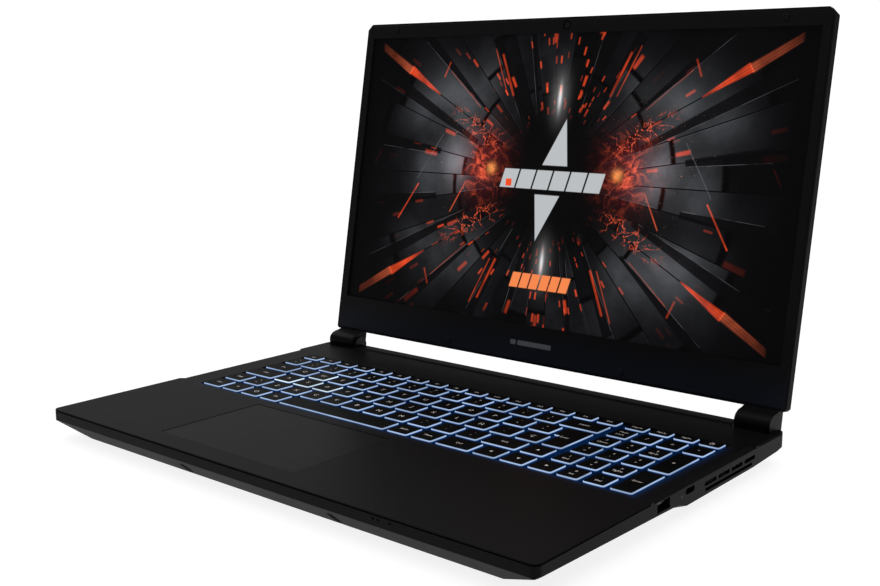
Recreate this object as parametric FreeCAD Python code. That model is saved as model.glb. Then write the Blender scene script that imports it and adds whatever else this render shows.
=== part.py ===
import FreeCAD, Part
import math
import os

from FreeCAD import Vector

# A 15.6 inch laptop computer with its lid open, in millimetres.
# While it is modelled, X is across (0 at the middle), Y runs back from the front edge
# and Z is up from the plane that the feet stand on. save() then moves each piece so that
# the origin is the bottom centre of the open machine's bounding box.

# ---- driving dimensions ------------------------------------------------------------

BASE_WIDTH = 359.5
BASE_DEPTH = 239.7          # to the outer rear corners, beside the hinges
BAR_DEPTH = 243.5           # to the rear bar between the hinges
BAR_RISE = 0.7              # the rear bar's height above the deck
DECK = 18.5                 # top of the palm rest
FLOOR = 2.0                 # underside of the bottom cover
FLOOR_WALL = 1.4
CORNER_R = 4.0
WALL = 1.5
PLATE = 1.6                 # thickness of the deck plate
SEAM_GAP = 0.2
BAND_FRONT = 6.3            # height of the top case's front band
UNDERCUT = 0.404            # rise over run of the sides' slanted underside

LID_WIDTH = 358.0
LID_HEIGHT = 228.2
LID_THICK = 7.7
LID_WALL = 1.2
LID_CORNER = 4.0
LID_BEVEL = 1.8
LID_ANGLE = 80.0            # lean of the lid's face from +Y: the lid is open 100 degrees
LID_FOOT_Y = 241.2          # the lower edge of the lid's face
LID_FOOT_Z = DECK + 10.1
BEZEL_THICK = 1.5
BEZEL_TOP = 10.4
BEZEL_CHIN = 25.1
BEZEL_SIDE = 7.0
GLASS_THICK = 0.8
PANEL_THICK = 2.0

HINGE_Y = 238.8
HINGE_Z = DECK + 0.5
HINGE_IN = 151.8            # the hinges lie between these distances from the middle
HINGE_OUT = 175.0
NOTCH_R = 10.9              # clearance cut around each hinge barrel
EAR = 1.2                   # thickness of the bracket's ear, beside the hinge cover
SHAFT_R = 2.5
SHAFT_PLAY = 0.05

KEY_GAP = 3.1
KEY_PITCH = 18.05
KEY_TOP = DECK + 0.6
KEY_HEIGHT = 1.5
KEY_DEPTH = 14.8
KEY_TRAVEL = 1.6
KEY_CORNER = 1.5
KEY_LIP = 0.35              # the keycap's top is smaller than its skirt by this much
KEYS_LEFT = -157.5
KEYS_RIGHT = 101.0          # right edge of the main block of keys
ROW_FRONT = 96.5            # front edge of the row nearest the user
ROW_PITCH = 17.88
FN_DEPTH = 9.0              # the top row's keys are shallower
FN_PITCH = 16.4
FN_PAD_LEFT = 107.4
FN_PAD_PITCH = 15.5
PAD_LEFT = 106.3            # the number pad's columns
PAD_PITCH = 15.8
WELL_MARGIN = 1.6           # from the outer keys to the edge of the keyboard well

TOUCH_LEFT = -91.0
TOUCH_WIDTH = 109.0
TOUCH_FRONT = 14.0
TOUCH_DEPTH = 72.0
TOUCH_THICK = 1.4
TOUCH_GAP = 0.3

BOARD = 10.2                # underside of the main board
BOARD_THICK = 1.2
FAN_X = 119.0
FAN_Y = 173.0
FAN_SIZE = 66.0
FAN_FLOOR = 4.6
FAN_HEIGHT = 8.8
ROTOR_R = 26.5
AXLE_R = 1.5

SCREWS = [(30, 15.5), (146, 16), (-146, 16), (96.5, 85), (-96.5, 85), (150, 88),
          (-150, 88), (78, 233), (-78, 233), (160, 212), (-160, 212)]

# ---- values that follow ------------------------------------------------------------

HALF = BASE_WIDTH / 2
SEAM_FRONT = DECK - BAND_FRONT
BOARD_TOP = BOARD + BOARD_THICK
KEY_BOTTOM = KEY_TOP - KEY_HEIGHT
SHEET_TOP = KEY_BOTTOM - KEY_TRAVEL - 0.1
SHEET = 0.5                 # the light guide under the keys
KEY_PLATE = 0.8
LID_TURN = math.radians(LID_ANGLE)
DEPTH_OVERALL = (LID_FOOT_Y + (LID_HEIGHT - LID_BEVEL) * math.cos(LID_TURN)
                 + LID_THICK * math.sin(LID_TURN))

# The seam between top case and bottom cover, along the sides: (y, z).
SEAM = [(0, SEAM_FRONT), (119, DECK - 8.7), (127, DECK - 11.4), (200, DECK - 11.0),
        (230, DECK - 9.7), (BAR_DEPTH, DECK - 7.7)]


# ---- shape helpers -----------------------------------------------------------------

def box(x0, x1, y0, y1, z0, z1):
    return Part.makeBox(x1 - x0, y1 - y0, z1 - z0, Vector(x0, y0, z0))


def plate(x0, x1, y0, y1, z0, z1, radius):
    """A box whose upright edges are rounded."""
    solid = box(x0, x1, y0, y1, z0, z1)
    upright = [e for e in solid.Edges if abs(e.Vertexes[0].Z - e.Vertexes[-1].Z) > 1e-6]
    return solid.makeFillet(radius, upright)


def post(x, y, z0, z1, radius):
    return Part.makeCylinder(radius, z1 - z0, Vector(x, y, z0))


def rod(x0, x1, y, z, radius):
    """A cylinder along X."""
    return Part.makeCylinder(radius, x1 - x0, Vector(x0, y, z), Vector(1, 0, 0))


def duct(x0, x1, y0, y1, z0, z1, radius):
    """A box whose edges along X are rounded."""
    solid = box(x0, x1, y0, y1, z0, z1)
    along = [e for e in solid.Edges if abs(e.Vertexes[0].X - e.Vertexes[-1].X) > 1e-6]
    return solid.makeFillet(radius, along)


def prism_x(outline, x0, x1):
    """An outline of (y, z) points, extruded along X."""
    points = [Vector(x0, y, z) for y, z in outline]
    face = Part.Face(Part.makePolygon(points + points[:1]))
    return face.extrude(Vector(x1 - x0, 0, 0))


def prism_y(outline, y0, y1):
    """An outline of (x, z) points, extruded along Y."""
    points = [Vector(x, y0, z) for x, z in outline]
    face = Part.Face(Part.makePolygon(points + points[:1]))
    return face.extrude(Vector(0, y1 - y0, 0))


def prism_z(outline, z0, z1):
    """An outline of (x, y) points, extruded along Z."""
    points = [Vector(x, y, z0) for x, y in outline]
    face = Part.Face(Part.makePolygon(points + points[:1]))
    return face.extrude(Vector(0, 0, z1 - z0))


def fuse(shapes):
    whole = shapes[0]
    if len(shapes) > 1:
        whole = whole.multiFuse(shapes[1:])
    return whole.removeSplitter()


def cut(shape, tools):
    return shape.cut(Part.Compound(tools)) if len(tools) == 1 else shape.cut(fuse(tools))


def mirrored(shape):
    return shape.mirror(Vector(0, 0, 0), Vector(1, 0, 0))


def both_sides(shape):
    return [shape, mirrored(shape)]


def chamfer_top(solid, size):
    """Bevels the edges of a solid's top face."""
    top = solid.BoundBox.ZMax
    rim = [e for e in solid.Edges if min(v.Z for v in e.Vertexes) > top - 1e-4]
    return solid.makeChamfer(size, rim)


def on_lid(shape):
    """Lid pieces are modelled flat: Y up the lid from its lower edge, Z out of its face."""
    placed = shape.copy()
    placed.rotate(Vector(0, 0, 0), Vector(1, 0, 0), LID_ANGLE)
    placed.translate(Vector(0, LID_FOOT_Y, LID_FOOT_Z))
    return placed


def save(name, shapes):
    """Writes one node. shapes is a list of closed solids."""
    solids = [s for shape in shapes for s in shape.Solids]
    whole = solids[0] if len(solids) == 1 else Part.Compound(solids)
    whole.translate(Vector(0, -DEPTH_OVERALL / 2, 0))
    if not whole.isValid():
        print("not valid:", name)
    whole.exportStep("parts/" + name + ".step")


# ---- base: the outer form ----------------------------------------------------------

def hull_section(y, z_seam, lift):
    """The base's cross-section: upright sides down to the seam, slanted from there."""
    flat = HALF - (z_seam - FLOOR) / UNDERCUT
    side = HALF + 2
    right = [(flat, FLOOR + lift), (side, z_seam + 2 * UNDERCUT + lift), (side, DECK + 5)]
    left = [(-x, z) for x, z in reversed(right)]
    return [Vector(x, y, z) for x, z in right + left]


def between(front, back):
    """The flat-sided solid between two outlines with the same number of corners."""
    rims = [front, list(reversed(back))]
    walls = [[front[i - 1], front[i], back[i], back[i - 1]] for i in range(len(front))]
    faces = [Part.Face(Part.makePolygon(points + points[:1])) for points in rims + walls]
    return Part.Solid(Part.makeShell(faces))


def base_form(inset, lift, top):
    """The whole base as one solid, drawn in by inset and raised underneath by lift."""
    stations = [(-2, SEAM_FRONT)] + SEAM[1:-1] + [(BAR_DEPTH + 2, SEAM[-1][1])]
    sections = [hull_section(y, z, lift) for y, z in stations]
    hull = fuse([between(a, b) for a, b in zip(sections, sections[1:])])
    plan = plate(-HALF + inset, HALF - inset, inset, BASE_DEPTH - inset,
                 FLOOR - 1, DECK + top, CORNER_R - inset)
    if not inset:
        plan = chamfer_top(plan, 0.25)
    bar_top = DECK + top + BAR_RISE
    bar_back = BAR_DEPTH - inset
    bar = prism_x([(215, FLOOR - 1), (bar_back - 7, FLOOR - 1), (bar_back, FLOOR + 6),
                   (bar_back, bar_top - 4), (bar_back - 1.2, bar_top - 1.6),
                   (bar_back - 3.5, bar_top), (232.5, bar_top), (230.5, DECK + top),
                   (215, DECK + top)],
                  -HINGE_IN + 0.3 + inset, HINGE_IN - 0.3 - inset)
    form = fuse([plan, bar]).common(hull)
    nose = SEAM_FRONT + lift + inset
    facet = prism_x([(-3, nose + 3), (-3, -5), (nose + 5, -5)], -HALF - 1, HALF + 1)
    return form.cut(facet)


def below_seam(gap):
    """Everything under the seam between top case and bottom cover."""
    outline = [(-5, SEAM_FRONT - gap)] + [(y, z - gap) for y, z in SEAM]
    outline += [(BAR_DEPTH + 5, SEAM[-1][1] - gap), (BAR_DEPTH + 5, -5), (-5, -5)]
    return prism_x(outline, -HALF - 5, HALF + 5)


def hinge_notches(radius, slack):
    barrel = rod(HINGE_IN - 0.4 - slack, HINGE_OUT + 0.6 + slack, HINGE_Y, HINGE_Z, radius)
    behind = box(HINGE_IN - 0.4 - slack, HINGE_OUT + 0.6 + slack, HINGE_Y, BAR_DEPTH + 5,
                 HINGE_Z - radius * 0.55, DECK + 5)
    return both_sides(fuse([barrel, behind]))


def base_cavity():
    inner = base_form(WALL, FLOOR_WALL, -PLATE)
    return cut(inner, hinge_notches(NOTCH_R + 1.2, 1.2))


# ---- base: openings in the walls ---------------------------------------------------

USB_A_Y = (98.0, 110.0)
USB_A_Z = (11.4, 16.8)
USB_C_Y = (125.4, 134.4)
USB_C_Z = (12.9, 16.1)
JACK_Y = 80.0
JACK_Z = 14.2
JACK_R = 1.8
JACK_MOUTH_R = 2.95
ETHERNET_Y = (126.0, 138.2)
ETHERNET_Z = (9.1, 16.4)
HDMI_X = (22.0, 37.4)
HDMI_Z = (11.7, 16.0)
INLET_X = -34.0
INLET_Z = 13.8
INLET_R = 2.3
LOCK_Y = (221.0, 228.0)
LOCK_Z = (12.6, 15.8)
PORT_FACE = HALF - WALL - 0.1      # sockets end just inside the side walls
REAR_FACE = BAR_DEPTH - 3.1         # and inside the sloping inner face of the rear bar
STATUS_X = [86.4, 89.6, 97.0]


def side_vents():
    """Four slots over a long one, in the right wall."""
    first = 145.0
    count = 4
    length = 12.6
    pitch = 14.8
    slots = [box(HALF - 4, HALF + 1, y, y + length, DECK - 6.5, DECK - 4.2)
             for y in (first + i * pitch for i in range(count))]
    return slots + [box(HALF - 4, HALF + 1, first + 1, first + 54, DECK - 9.5, DECK - 7.7)]


def rear_vents():
    """Upright slots in the rear wall, behind the right heat sink."""
    return [box(x, x + 3.4, BAR_DEPTH - 4, BAR_DEPTH + 1, DECK - 6.9, DECK - 2.2)
            for x in (90 + 5.0 * i for i in range(11))]


def port_holes():
    side = [box(HALF - 4, HALF + 1, *USB_A_Y, *USB_A_Z),
            box(-HALF - 1, -HALF + 4, *USB_A_Y, *USB_A_Z),
            duct(HALF - 4, HALF + 1, *USB_C_Y, *USB_C_Z, 1.5),
            box(-HALF - 1, -HALF + 4, *ETHERNET_Y, *ETHERNET_Z),
            box(-HALF - 1, -HALF + 4, *LOCK_Y, *LOCK_Z),
            rod(-HALF - 1, -HALF + 4, JACK_Y, JACK_Z, JACK_MOUTH_R)]
    inlet = Part.makeCylinder(INLET_R + 0.8, 6, Vector(INLET_X, BAR_DEPTH - 5, INLET_Z),
                              Vector(0, 1, 0))
    rear = [box(*HDMI_X, BAR_DEPTH - 4, BAR_DEPTH + 1, *HDMI_Z), inlet]
    return side + rear


def edge_scoops():
    """The deck's side edges are hollowed over the ports."""
    front, rear, run = 94.0, 204.0, 5.0
    blade = prism_y([(HALF - 4.5, DECK + 0.6), (HALF + 1, DECK + 0.6),
                     (HALF + 1, DECK - 1.7)], front, rear)
    ends = [prism_z([(HALF - 6, front - 1), (HALF + 2, front - 1), (HALF - 6, front + run)],
                    DECK - 3, DECK + 1),
            prism_z([(HALF - 6, rear + 1), (HALF + 2, rear + 1), (HALF - 6, rear - run)],
                    DECK - 3, DECK + 1)]
    return both_sides(cut(blade, ends))


def edge_groove():
    """A fine shadow line round the deck's edge, stopping at the scoops."""
    low, high = DECK - 1.25, DECK - 0.4
    deep = 0.7
    ring = plate(-HALF - 1, HALF + 1, -1, BASE_DEPTH + 1, low, high, CORNER_R)
    core = plate(-HALF + deep, HALF - deep, deep, BASE_DEPTH + 2, low - 1, high + 1, CORNER_R)
    return cut(ring, [core, box(-HALF - 2, HALF + 2, 92, 206, low - 1, high + 1)])


# ---- keyboard layout ---------------------------------------------------------------

def row_front(row):
    """Row 0 is nearest the user, row 5 is the row of function keys."""
    return ROW_FRONT + row * ROW_PITCH


def run_of_keys(left, count, pitch=KEY_PITCH):
    return [(left + i * pitch, left + (i + 1) * pitch - KEY_GAP) for i in range(count)]


def pad_columns(first, last):
    return run_of_keys(PAD_LEFT, 4, PAD_PITCH)[first:last]


def after(width):
    """Where the second key of a row starts when the first has this width."""
    return KEYS_LEFT + width + KEY_GAP


ARROW_X = KEYS_RIGHT + KEY_GAP - KEY_PITCH
SPACE_LEFT = after(15.9) + 3 * KEY_PITCH
SPACE_RIGHT = SPACE_LEFT + 87.2
RIGHT_CTRL = SPACE_RIGHT + KEY_GAP + 2 * KEY_PITCH
TAB_WIDTH = 21.3
CAPS_WIDTH = 25.4
LETTERS = 12
ENTER_TOP = after(TAB_WIDTH) + LETTERS * KEY_PITCH
ENTER_FOOT = after(CAPS_WIDTH) + LETTERS * KEY_PITCH
BACKSPACE = after(12.4) + LETTERS * KEY_PITCH
RIGHT_SHIFT = after(15.4) + 11 * KEY_PITCH

ROW_KEYS = {
    0: [(KEYS_LEFT, KEYS_LEFT + 15.9)] + run_of_keys(after(15.9), 3)
       + run_of_keys(SPACE_RIGHT + KEY_GAP, 2)
       + [(RIGHT_CTRL, ARROW_X - KEY_PITCH - KEY_GAP)]
       + run_of_keys(ARROW_X - KEY_PITCH, 3) + pad_columns(1, 3),
    1: [(KEYS_LEFT, KEYS_LEFT + 15.4)] + run_of_keys(after(15.4), 11)
       + [(ARROW_X, KEYS_RIGHT)] + pad_columns(0, 3),
    2: run_of_keys(after(CAPS_WIDTH), LETTERS) + pad_columns(0, 3),
    3: run_of_keys(after(TAB_WIDTH), LETTERS) + pad_columns(0, 3),
    4: [(KEYS_LEFT, KEYS_LEFT + 12.4)] + run_of_keys(after(12.4), LETTERS)
       + pad_columns(0, 4),
    5: run_of_keys(KEYS_LEFT, 16, FN_PITCH)
       + run_of_keys(FN_PAD_LEFT, 3, FN_PAD_PITCH),
}


def key_cap(x0, x1, y0, y1):
    """A keycap: a rounded skirt with a slightly smaller bevelled top."""
    skirt = plate(x0, x1, y0, y1, KEY_BOTTOM, KEY_TOP - 0.5, KEY_CORNER)
    top = plate(x0 + KEY_LIP, x1 - KEY_LIP, y0 + KEY_LIP, y1 - KEY_LIP,
                KEY_BOTTOM, KEY_TOP, KEY_CORNER - KEY_LIP)
    return skirt.fuse(chamfer_top(top, 0.2)).removeSplitter()


def key_row(row):
    y = row_front(row)
    depth = FN_DEPTH if row == 5 else KEY_DEPTH
    return [key_cap(x0, x1, y, y + depth) for x0, x1 in ROW_KEYS[row]]


def enter_key():
    """The tall two-row key whose upper half is wider than its foot."""
    y = row_front(2)
    step = row_front(3)
    back = step + KEY_DEPTH
    foot = key_cap(ENTER_FOOT, KEYS_RIGHT, y, back)
    head = key_cap(ENTER_TOP, KEYS_RIGHT, step, back)
    return foot.fuse(head).removeSplitter()


def single_keys():
    """The large keys that each have a node of their own."""
    pad_x0, pad_x1 = pad_columns(3, 4)[0]
    last_fn = FN_PAD_LEFT + 3 * FN_PAD_PITCH
    rows = {
        "space_bar": (SPACE_LEFT, SPACE_RIGHT, 0, 0),
        "right_shift_key": (RIGHT_SHIFT, ARROW_X - KEY_GAP, 1, 1),
        "caps_lock_key": (KEYS_LEFT, KEYS_LEFT + CAPS_WIDTH, 2, 2),
        "tab_key": (KEYS_LEFT, KEYS_LEFT + TAB_WIDTH, 3, 3),
        "backspace_key": (BACKSPACE, KEYS_RIGHT, 4, 4),
        "numpad_plus_key": (pad_x0, pad_x1, 2, 3),
        "numpad_enter_key": (pad_x0, pad_x1, 0, 1),
    }
    for name, (x0, x1, low, high) in rows.items():
        save(name, [key_cap(x0, x1, row_front(low), row_front(high) + KEY_DEPTH)])
    y = row_front(5)
    save("power_key", [key_cap(last_fn, pad_x1, y, y + FN_DEPTH)])
    save("enter_key", [enter_key()])


# ---- base: shells ------------------------------------------------------------------

def keyboard_well():
    return (KEYS_LEFT - WELL_MARGIN, PAD_LEFT + 4 * PAD_PITCH - KEY_GAP + WELL_MARGIN,
            ROW_FRONT - WELL_MARGIN, row_front(5) + FN_DEPTH + WELL_MARGIN)


def top_case():
    outer = base_form(0, 0, 0).cut(below_seam(0))
    outer = cut(outer, hinge_notches(NOTCH_R, 0) + edge_scoops() + [edge_groove()])
    well = plate(*keyboard_well(), DECK - 3, DECK + 3, 2.0)
    touch = plate(TOUCH_LEFT - TOUCH_GAP, TOUCH_LEFT + TOUCH_WIDTH + TOUCH_GAP,
                  TOUCH_FRONT - TOUCH_GAP, TOUCH_FRONT + TOUCH_DEPTH + TOUCH_GAP,
                  DECK - 3, DECK + 3, 1.5)
    bracket_slots = both_sides(box(HINGE_IN - 0.4, HINGE_IN + EAR + 0.3, 222, HINGE_Y + 2,
                                   DECK - 6, DECK - PLATE))
    lights = [box(x, x + 1.6, -1, 3, DECK - 3.4, DECK - 2.4) for x in STATUS_X]
    shell = cut(outer, [base_cavity(), well, touch] + bracket_slots + lights)
    shell = cut(shell, both_sides(fuse(side_vents())) + both_sides(fuse(rear_vents()))
                + port_holes())
    bosses = [post(x, y, FLOOR + 2.2, DECK - PLATE + 0.2, 2.8) for x, y in SCREWS]
    holes = [post(x, y, FLOOR, 12.0, 1.25) for x, y in SCREWS]
    return cut(fuse([shell] + bosses), holes)


def facet_marks():
    """Two short slanted slots through the front facet."""
    marks = []
    for x in (-58.9, 55.4):
        slot = box(-0.7, 0.7, -3.9, 3.9, -3, 1)
        slot.rotate(Vector(0, 0, 0), Vector(0, 0, 1), -18)
        slot.rotate(Vector(0, 0, 0), Vector(1, 0, 0), -45)
        slot.translate(Vector(x, 6.2, SEAM_FRONT - 6.2))
        marks.append(slot)
    return marks


def intake_slots():
    """Slots under each fan."""
    count = 9
    pitch = 5.6
    first = FAN_Y - pitch * (count - 1) / 2
    slots = []
    for i in range(count):
        y = first + i * pitch
        reach = math.sqrt(27.0 ** 2 - (y - FAN_Y) ** 2)
        slots.append(plate(FAN_X - reach, FAN_X + reach, y - 1.4, y + 1.4,
                           FLOOR - 1, FLOOR + FLOOR_WALL + 1, 1.3))
    return slots


def bottom_cover():
    outer = base_form(0, 0, 0).common(below_seam(SEAM_GAP))
    shell = cut(outer, [base_cavity()] + hinge_notches(NOTCH_R, 0) + port_holes())
    bosses = [post(x, y, FLOOR, FLOOR + 2.2, 3.8) for x, y in SCREWS]
    shell = fuse([shell] + bosses)
    heads = [post(x, y, FLOOR - 1, FLOOR + 1.2, 2.5) for x, y in SCREWS]
    shanks = [post(x, y, FLOOR - 1, FLOOR + 3, 1.35) for x, y in SCREWS]
    slots = intake_slots()
    return cut(shell, heads + shanks + slots + [mirrored(s) for s in slots]
               + facet_marks())


def case_screws():
    screws = []
    for x, y in SCREWS:
        head = post(x, y, FLOOR + 0.1, FLOOR + 1.2, 2.3)
        shank = post(x, y, FLOOR + 1.2, FLOOR + 8, 1.2)
        drive = [box(x - 1.2, x + 1.2, y - 0.25, y + 0.25, FLOOR, FLOOR + 0.6),
                 box(x - 0.25, x + 0.25, y - 1.2, y + 1.2, FLOOR, FLOOR + 0.6)]
        screws.append(cut(head.fuse(shank), drive))
    return screws


def rubber_feet():
    front = plate(96, 140, 24, 32, 0, FLOOR, 3.9)
    rear = plate(70, 146, 222, 230, 0, FLOOR, 3.9)
    return both_sides(chamfer_bottom(front)) + both_sides(chamfer_bottom(rear))


def chamfer_bottom(solid):
    rim = [e for e in solid.Edges if max(v.Z for v in e.Vertexes) < 1e-4]
    return solid.makeChamfer(0.5, rim)


def status_lights():
    return [box(x + 0.05, x + 1.55, 0.1, 2.5, DECK - 3.35, DECK - 2.45) for x in STATUS_X]


# ---- base: keyboard and touchpad ---------------------------------------------------

def keyboard_plate():
    x0, x1, y0, y1 = keyboard_well()
    low = SHEET_TOP - SHEET - KEY_PLATE
    return plate(x0 - 4, x1 + 0.15, y0 - 2, y1 + 2.5, low, low + KEY_PLATE, 2.0)


def keyboard_light_guide():
    x0, x1, y0, y1 = keyboard_well()
    return plate(x0 - 3, x1 + 0.15, y0 - 1.5, y1 + 1.5, SHEET_TOP - SHEET, SHEET_TOP, 2.0)


def touchpad():
    surface = plate(TOUCH_LEFT, TOUCH_LEFT + TOUCH_WIDTH, TOUCH_FRONT,
                    TOUCH_FRONT + TOUCH_DEPTH, DECK - 0.15 - TOUCH_THICK, DECK - 0.15, 1.2)
    board = box(TOUCH_LEFT + 4, TOUCH_LEFT + TOUCH_WIDTH - 4, TOUCH_FRONT + 4,
                TOUCH_FRONT + TOUCH_DEPTH - 4, DECK - 2.6, DECK - 0.15 - TOUCH_THICK)
    return chamfer_top(surface, 0.15).fuse(board)


# ---- base: what is inside ----------------------------------------------------------

def main_board():
    outline = [(-167, 92), (167, 92), (167, 137), (70, 137), (70, 236), (-70, 236),
               (-70, 139), (-167, 139)]
    board = prism_z(outline, BOARD, BOARD_TOP)
    chips = [box(-40, -10, 158, 182, BOARD_TOP, BOARD_TOP + 1.0),
             box(15, 47, 158, 190, BOARD_TOP, BOARD_TOP + 1.0)]
    coils = [box(x, x + 6, 196, 202, BOARD_TOP, BOARD_TOP + 0.9)
             for x in (-60 + 9 * i for i in range(14))]
    return [board] + chips + coils


def heat_pipes():
    """Two flat pipes from each chip, bent behind the fans and over the heat sinks."""
    low = BOARD_TOP + 1.0
    pipes = []
    for start, end, y_chip, y_back in ((-30, -146, 162, 213), (-18, -146, 171, 221.5),
                                       (22, 146, 162, 213), (36, 146, 173, 221.5)):
        x0, x1 = sorted((start, end))
        across = box(x0, x1, y_back, y_back + 7, low, low + 2)
        down = box(start - 3.5, start + 3.5, y_chip, y_back + 7, low, low + 2)
        pipes.append(across.fuse(down).removeSplitter())
    return pipes


def heat_sink():
    """Fin stacks behind and beside the right fan."""
    solids = []
    rear = [box(88, 146, 213, 240, 6.0, 6.6), box(88, 146, 213, 240, 11.8, 12.4)]
    fins = [box(x, x + 0.6, 213, 240, 6.6, 11.8) for x in (88 + 3.02 * i for i in range(20))]
    solids.append(fuse(rear + fins))
    side = [box(159, 175, 146, 202, 8.0, 8.6), box(159, 175, 146, 202, 13.2, 13.8)]
    fins = [box(159, 175, y, y + 0.6, 8.6, 13.2) for y in (146 + 2.91 * i for i in range(20))]
    solids.append(fuse(side + fins))
    return solids


def fan_housing():
    low, high = FAN_FLOOR, FAN_FLOOR + FAN_HEIGHT
    half = FAN_SIZE / 2
    outer = plate(FAN_X - half, FAN_X + half, FAN_Y - half, FAN_Y + half, low, high, 6)
    inner = plate(FAN_X - half + 1, FAN_X + half - 1, FAN_Y - half + 1,
                  FAN_Y + half - 1, low + 0.8, high - 0.8, 5)
    outlets = [box(FAN_X - half + 6, FAN_X + half - 6, FAN_Y + half - 2, FAN_Y + half + 2,
                   low + 0.8, high - 0.8),
               box(FAN_X + half - 2, FAN_X + half + 2, FAN_Y - half + 8, FAN_Y + half - 8,
                   low + 0.8, high - 0.8)]
    eyes = [post(FAN_X, FAN_Y, high - 2, high + 1, 20),
            post(FAN_X, FAN_Y, low - 1, low + 2, 20)]
    spokes = [spoke(angle, low, low + 0.8) for angle in (90, 210, 330)]
    shell = fuse([cut(outer, [inner] + eyes + outlets)] + spokes
                 + [post(FAN_X, FAN_Y, low, low + 0.8, 8)])
    axle = post(FAN_X, FAN_Y, low + 0.4, high - 2.5, AXLE_R)
    return shell.fuse(axle).removeSplitter()


def spoke(angle, low, high):
    arm = box(0, 24, -1.5, 1.5, low, high)
    arm.rotate(Vector(0, 0, 0), Vector(0, 0, 1), angle)
    arm.translate(Vector(FAN_X, FAN_Y, 0))
    return arm


def fan_rotor():
    low, high = FAN_FLOOR + 1.4, FAN_FLOOR + FAN_HEIGHT - 1.4
    hub = post(FAN_X, FAN_Y, low, high, 11)
    blades = []
    count = 19
    for i in range(count):
        blade = box(10, ROTOR_R, -0.35, 0.35, low + 0.3, high - 0.3)
        blade.rotate(Vector(10, 0, 0), Vector(0, 0, 1), 24)
        blade.rotate(Vector(0, 0, 0), Vector(0, 0, 1), 360 / count * i)
        blade.translate(Vector(FAN_X, FAN_Y, 0))
        blades.append(blade)
    bore = post(FAN_X, FAN_Y, low - 1, high - 0.8, AXLE_R + 0.05)
    return fuse([hub] + blades).cut(bore)


def battery_pack():
    tray = plate(-88, 88, 21, 89, 3.8, 4.6, 2)
    cells = [plate(-87 + 44 * i, -45 + 44 * i, 22, 84, 4.6, 11.6, 3) for i in range(4)]
    board = box(-87, 87, 84.5, 88.5, 4.6, 8.0)
    return [fuse([tray] + cells + [board])]


def memory_modules():
    modules = []
    for x in (-76, 4):
        modules.append(box(x, x + 69.6, 98, 128, 6.6, 7.8))
        chips = [box(x + 4 + 16 * i, x + 16 + 16 * i, 106, 114, 5.6, 6.6) for i in range(4)]
        socket = box(x - 1, x + 70.6, 128, 134, 5.4, BOARD)
        modules.extend(chips + [socket])
    return modules


def ssd_drive():
    card = box(80, 160, 100, 122, 7.0, 7.8)
    chips = [box(86 + 18 * i, 100 + 18 * i, 103, 119, 5.8, 7.0) for i in range(4)]
    return [card] + chips + [box(76, 80, 99, 123, 6.0, BOARD)]


def wifi_card():
    card = box(-124, -94, 100, 122, 7.0, 7.8)
    can = box(-120, -104, 102, 120, 5.6, 7.0)
    return [card, can, box(-94, -90, 99, 123, 6.0, BOARD)]


def speaker():
    body = plate(102, 148, 36, 74, 4.2, 11.5, 2.5)
    cone = post(125, 55, 11.5, 12.3, 13)
    return fuse([body, cone])


# ---- ports -------------------------------------------------------------------------

def usb_a_port():
    y0, y1 = USB_A_Y
    z0, z1 = USB_A_Z
    back = 168.2
    shell = box(back, PORT_FACE, y0 - 0.6, y1 + 0.6, z0 - 0.4, z1 - 0.3)
    hollow = box(back + 0.6, HALF, y0, y1, z0, z1 - 0.6)
    tongue = box(back + 0.3, 177.2, y0 + 0.8, y1 - 0.8, z1 - 2.9, z1 - 1.3)
    return fuse([shell.cut(hollow), tongue])


def usb_c_port():
    y0, y1 = USB_C_Y
    z0, z1 = USB_C_Z
    back = 168.2
    middle = (z0 + z1) / 2
    shell = box(back, PORT_FACE, y0 - 0.3, y1 + 0.3, z0 - 0.3, z1 + 0.3)
    hollow = duct(back + 0.6, HALF, y0 + 0.2, y1 - 0.2, z0 + 0.2, z1 - 0.2, 1.3)
    tongue = box(back + 0.3, 176.8, y0 + 1.2, y1 - 1.2, middle - 0.35, middle + 0.35)
    foot = box(back, 177, y0, y1, BOARD_TOP, z0 - 0.3)
    return fuse([shell.cut(hollow), tongue, foot])


def audio_jack():
    body = box(-PORT_FACE, -164, JACK_Y - 3.5, JACK_Y + 3.5, BOARD_TOP + 0.3, JACK_Z + 2.4)
    return body.cut(rod(-HALF, -166, JACK_Y, JACK_Z, JACK_R))


def ethernet_jack():
    y0, y1 = ETHERNET_Y
    z0, z1 = ETHERNET_Z
    shell = box(-PORT_FACE, -169, y0 - 0.8, y1 + 0.8, z0 - 0.5, z1 + 0.4)
    hollow = box(-HALF, -170, y0, y1, z0 + 0.2, z1 - 0.2)
    pins = [box(-172.4, -169.5, y0 + 2.2 + i, y0 + 2.6 + i, z1 - 1.4, z1 - 0.6)
            for i in range(8)]
    return fuse([shell.cut(hollow)] + pins)


def hdmi_port():
    x0, x1 = HDMI_X
    z0, z1 = HDMI_Z
    back = 231.0
    middle = (z0 + z1) / 2
    shell = box(x0 - 0.5, x1 + 0.5, back, REAR_FACE, z0 - 0.2, z1 + 0.2)
    hollow = box(x0, x1, back + 1, BAR_DEPTH, z0, z1 - 0.1)
    tongue = box(x0 + 1.5, x1 - 1.5, back + 0.5, REAR_FACE - 1, middle - 0.3, middle + 0.5)
    return fuse([shell.cut(hollow), tongue])


def power_inlet():
    back = 229.0
    body = box(INLET_X - 4.6, INLET_X + 4.6, back, REAR_FACE, BOARD_TOP, INLET_Z + 2.4)
    bore = Part.makeCylinder(INLET_R, 12, Vector(INLET_X, back + 2, INLET_Z), Vector(0, 1, 0))
    pin = Part.makeCylinder(0.6, 10, Vector(INLET_X, back + 1, INLET_Z), Vector(0, 1, 0))
    return body.cut(bore).fuse(pin)


# ---- hinges ------------------------------------------------------------------------

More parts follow.
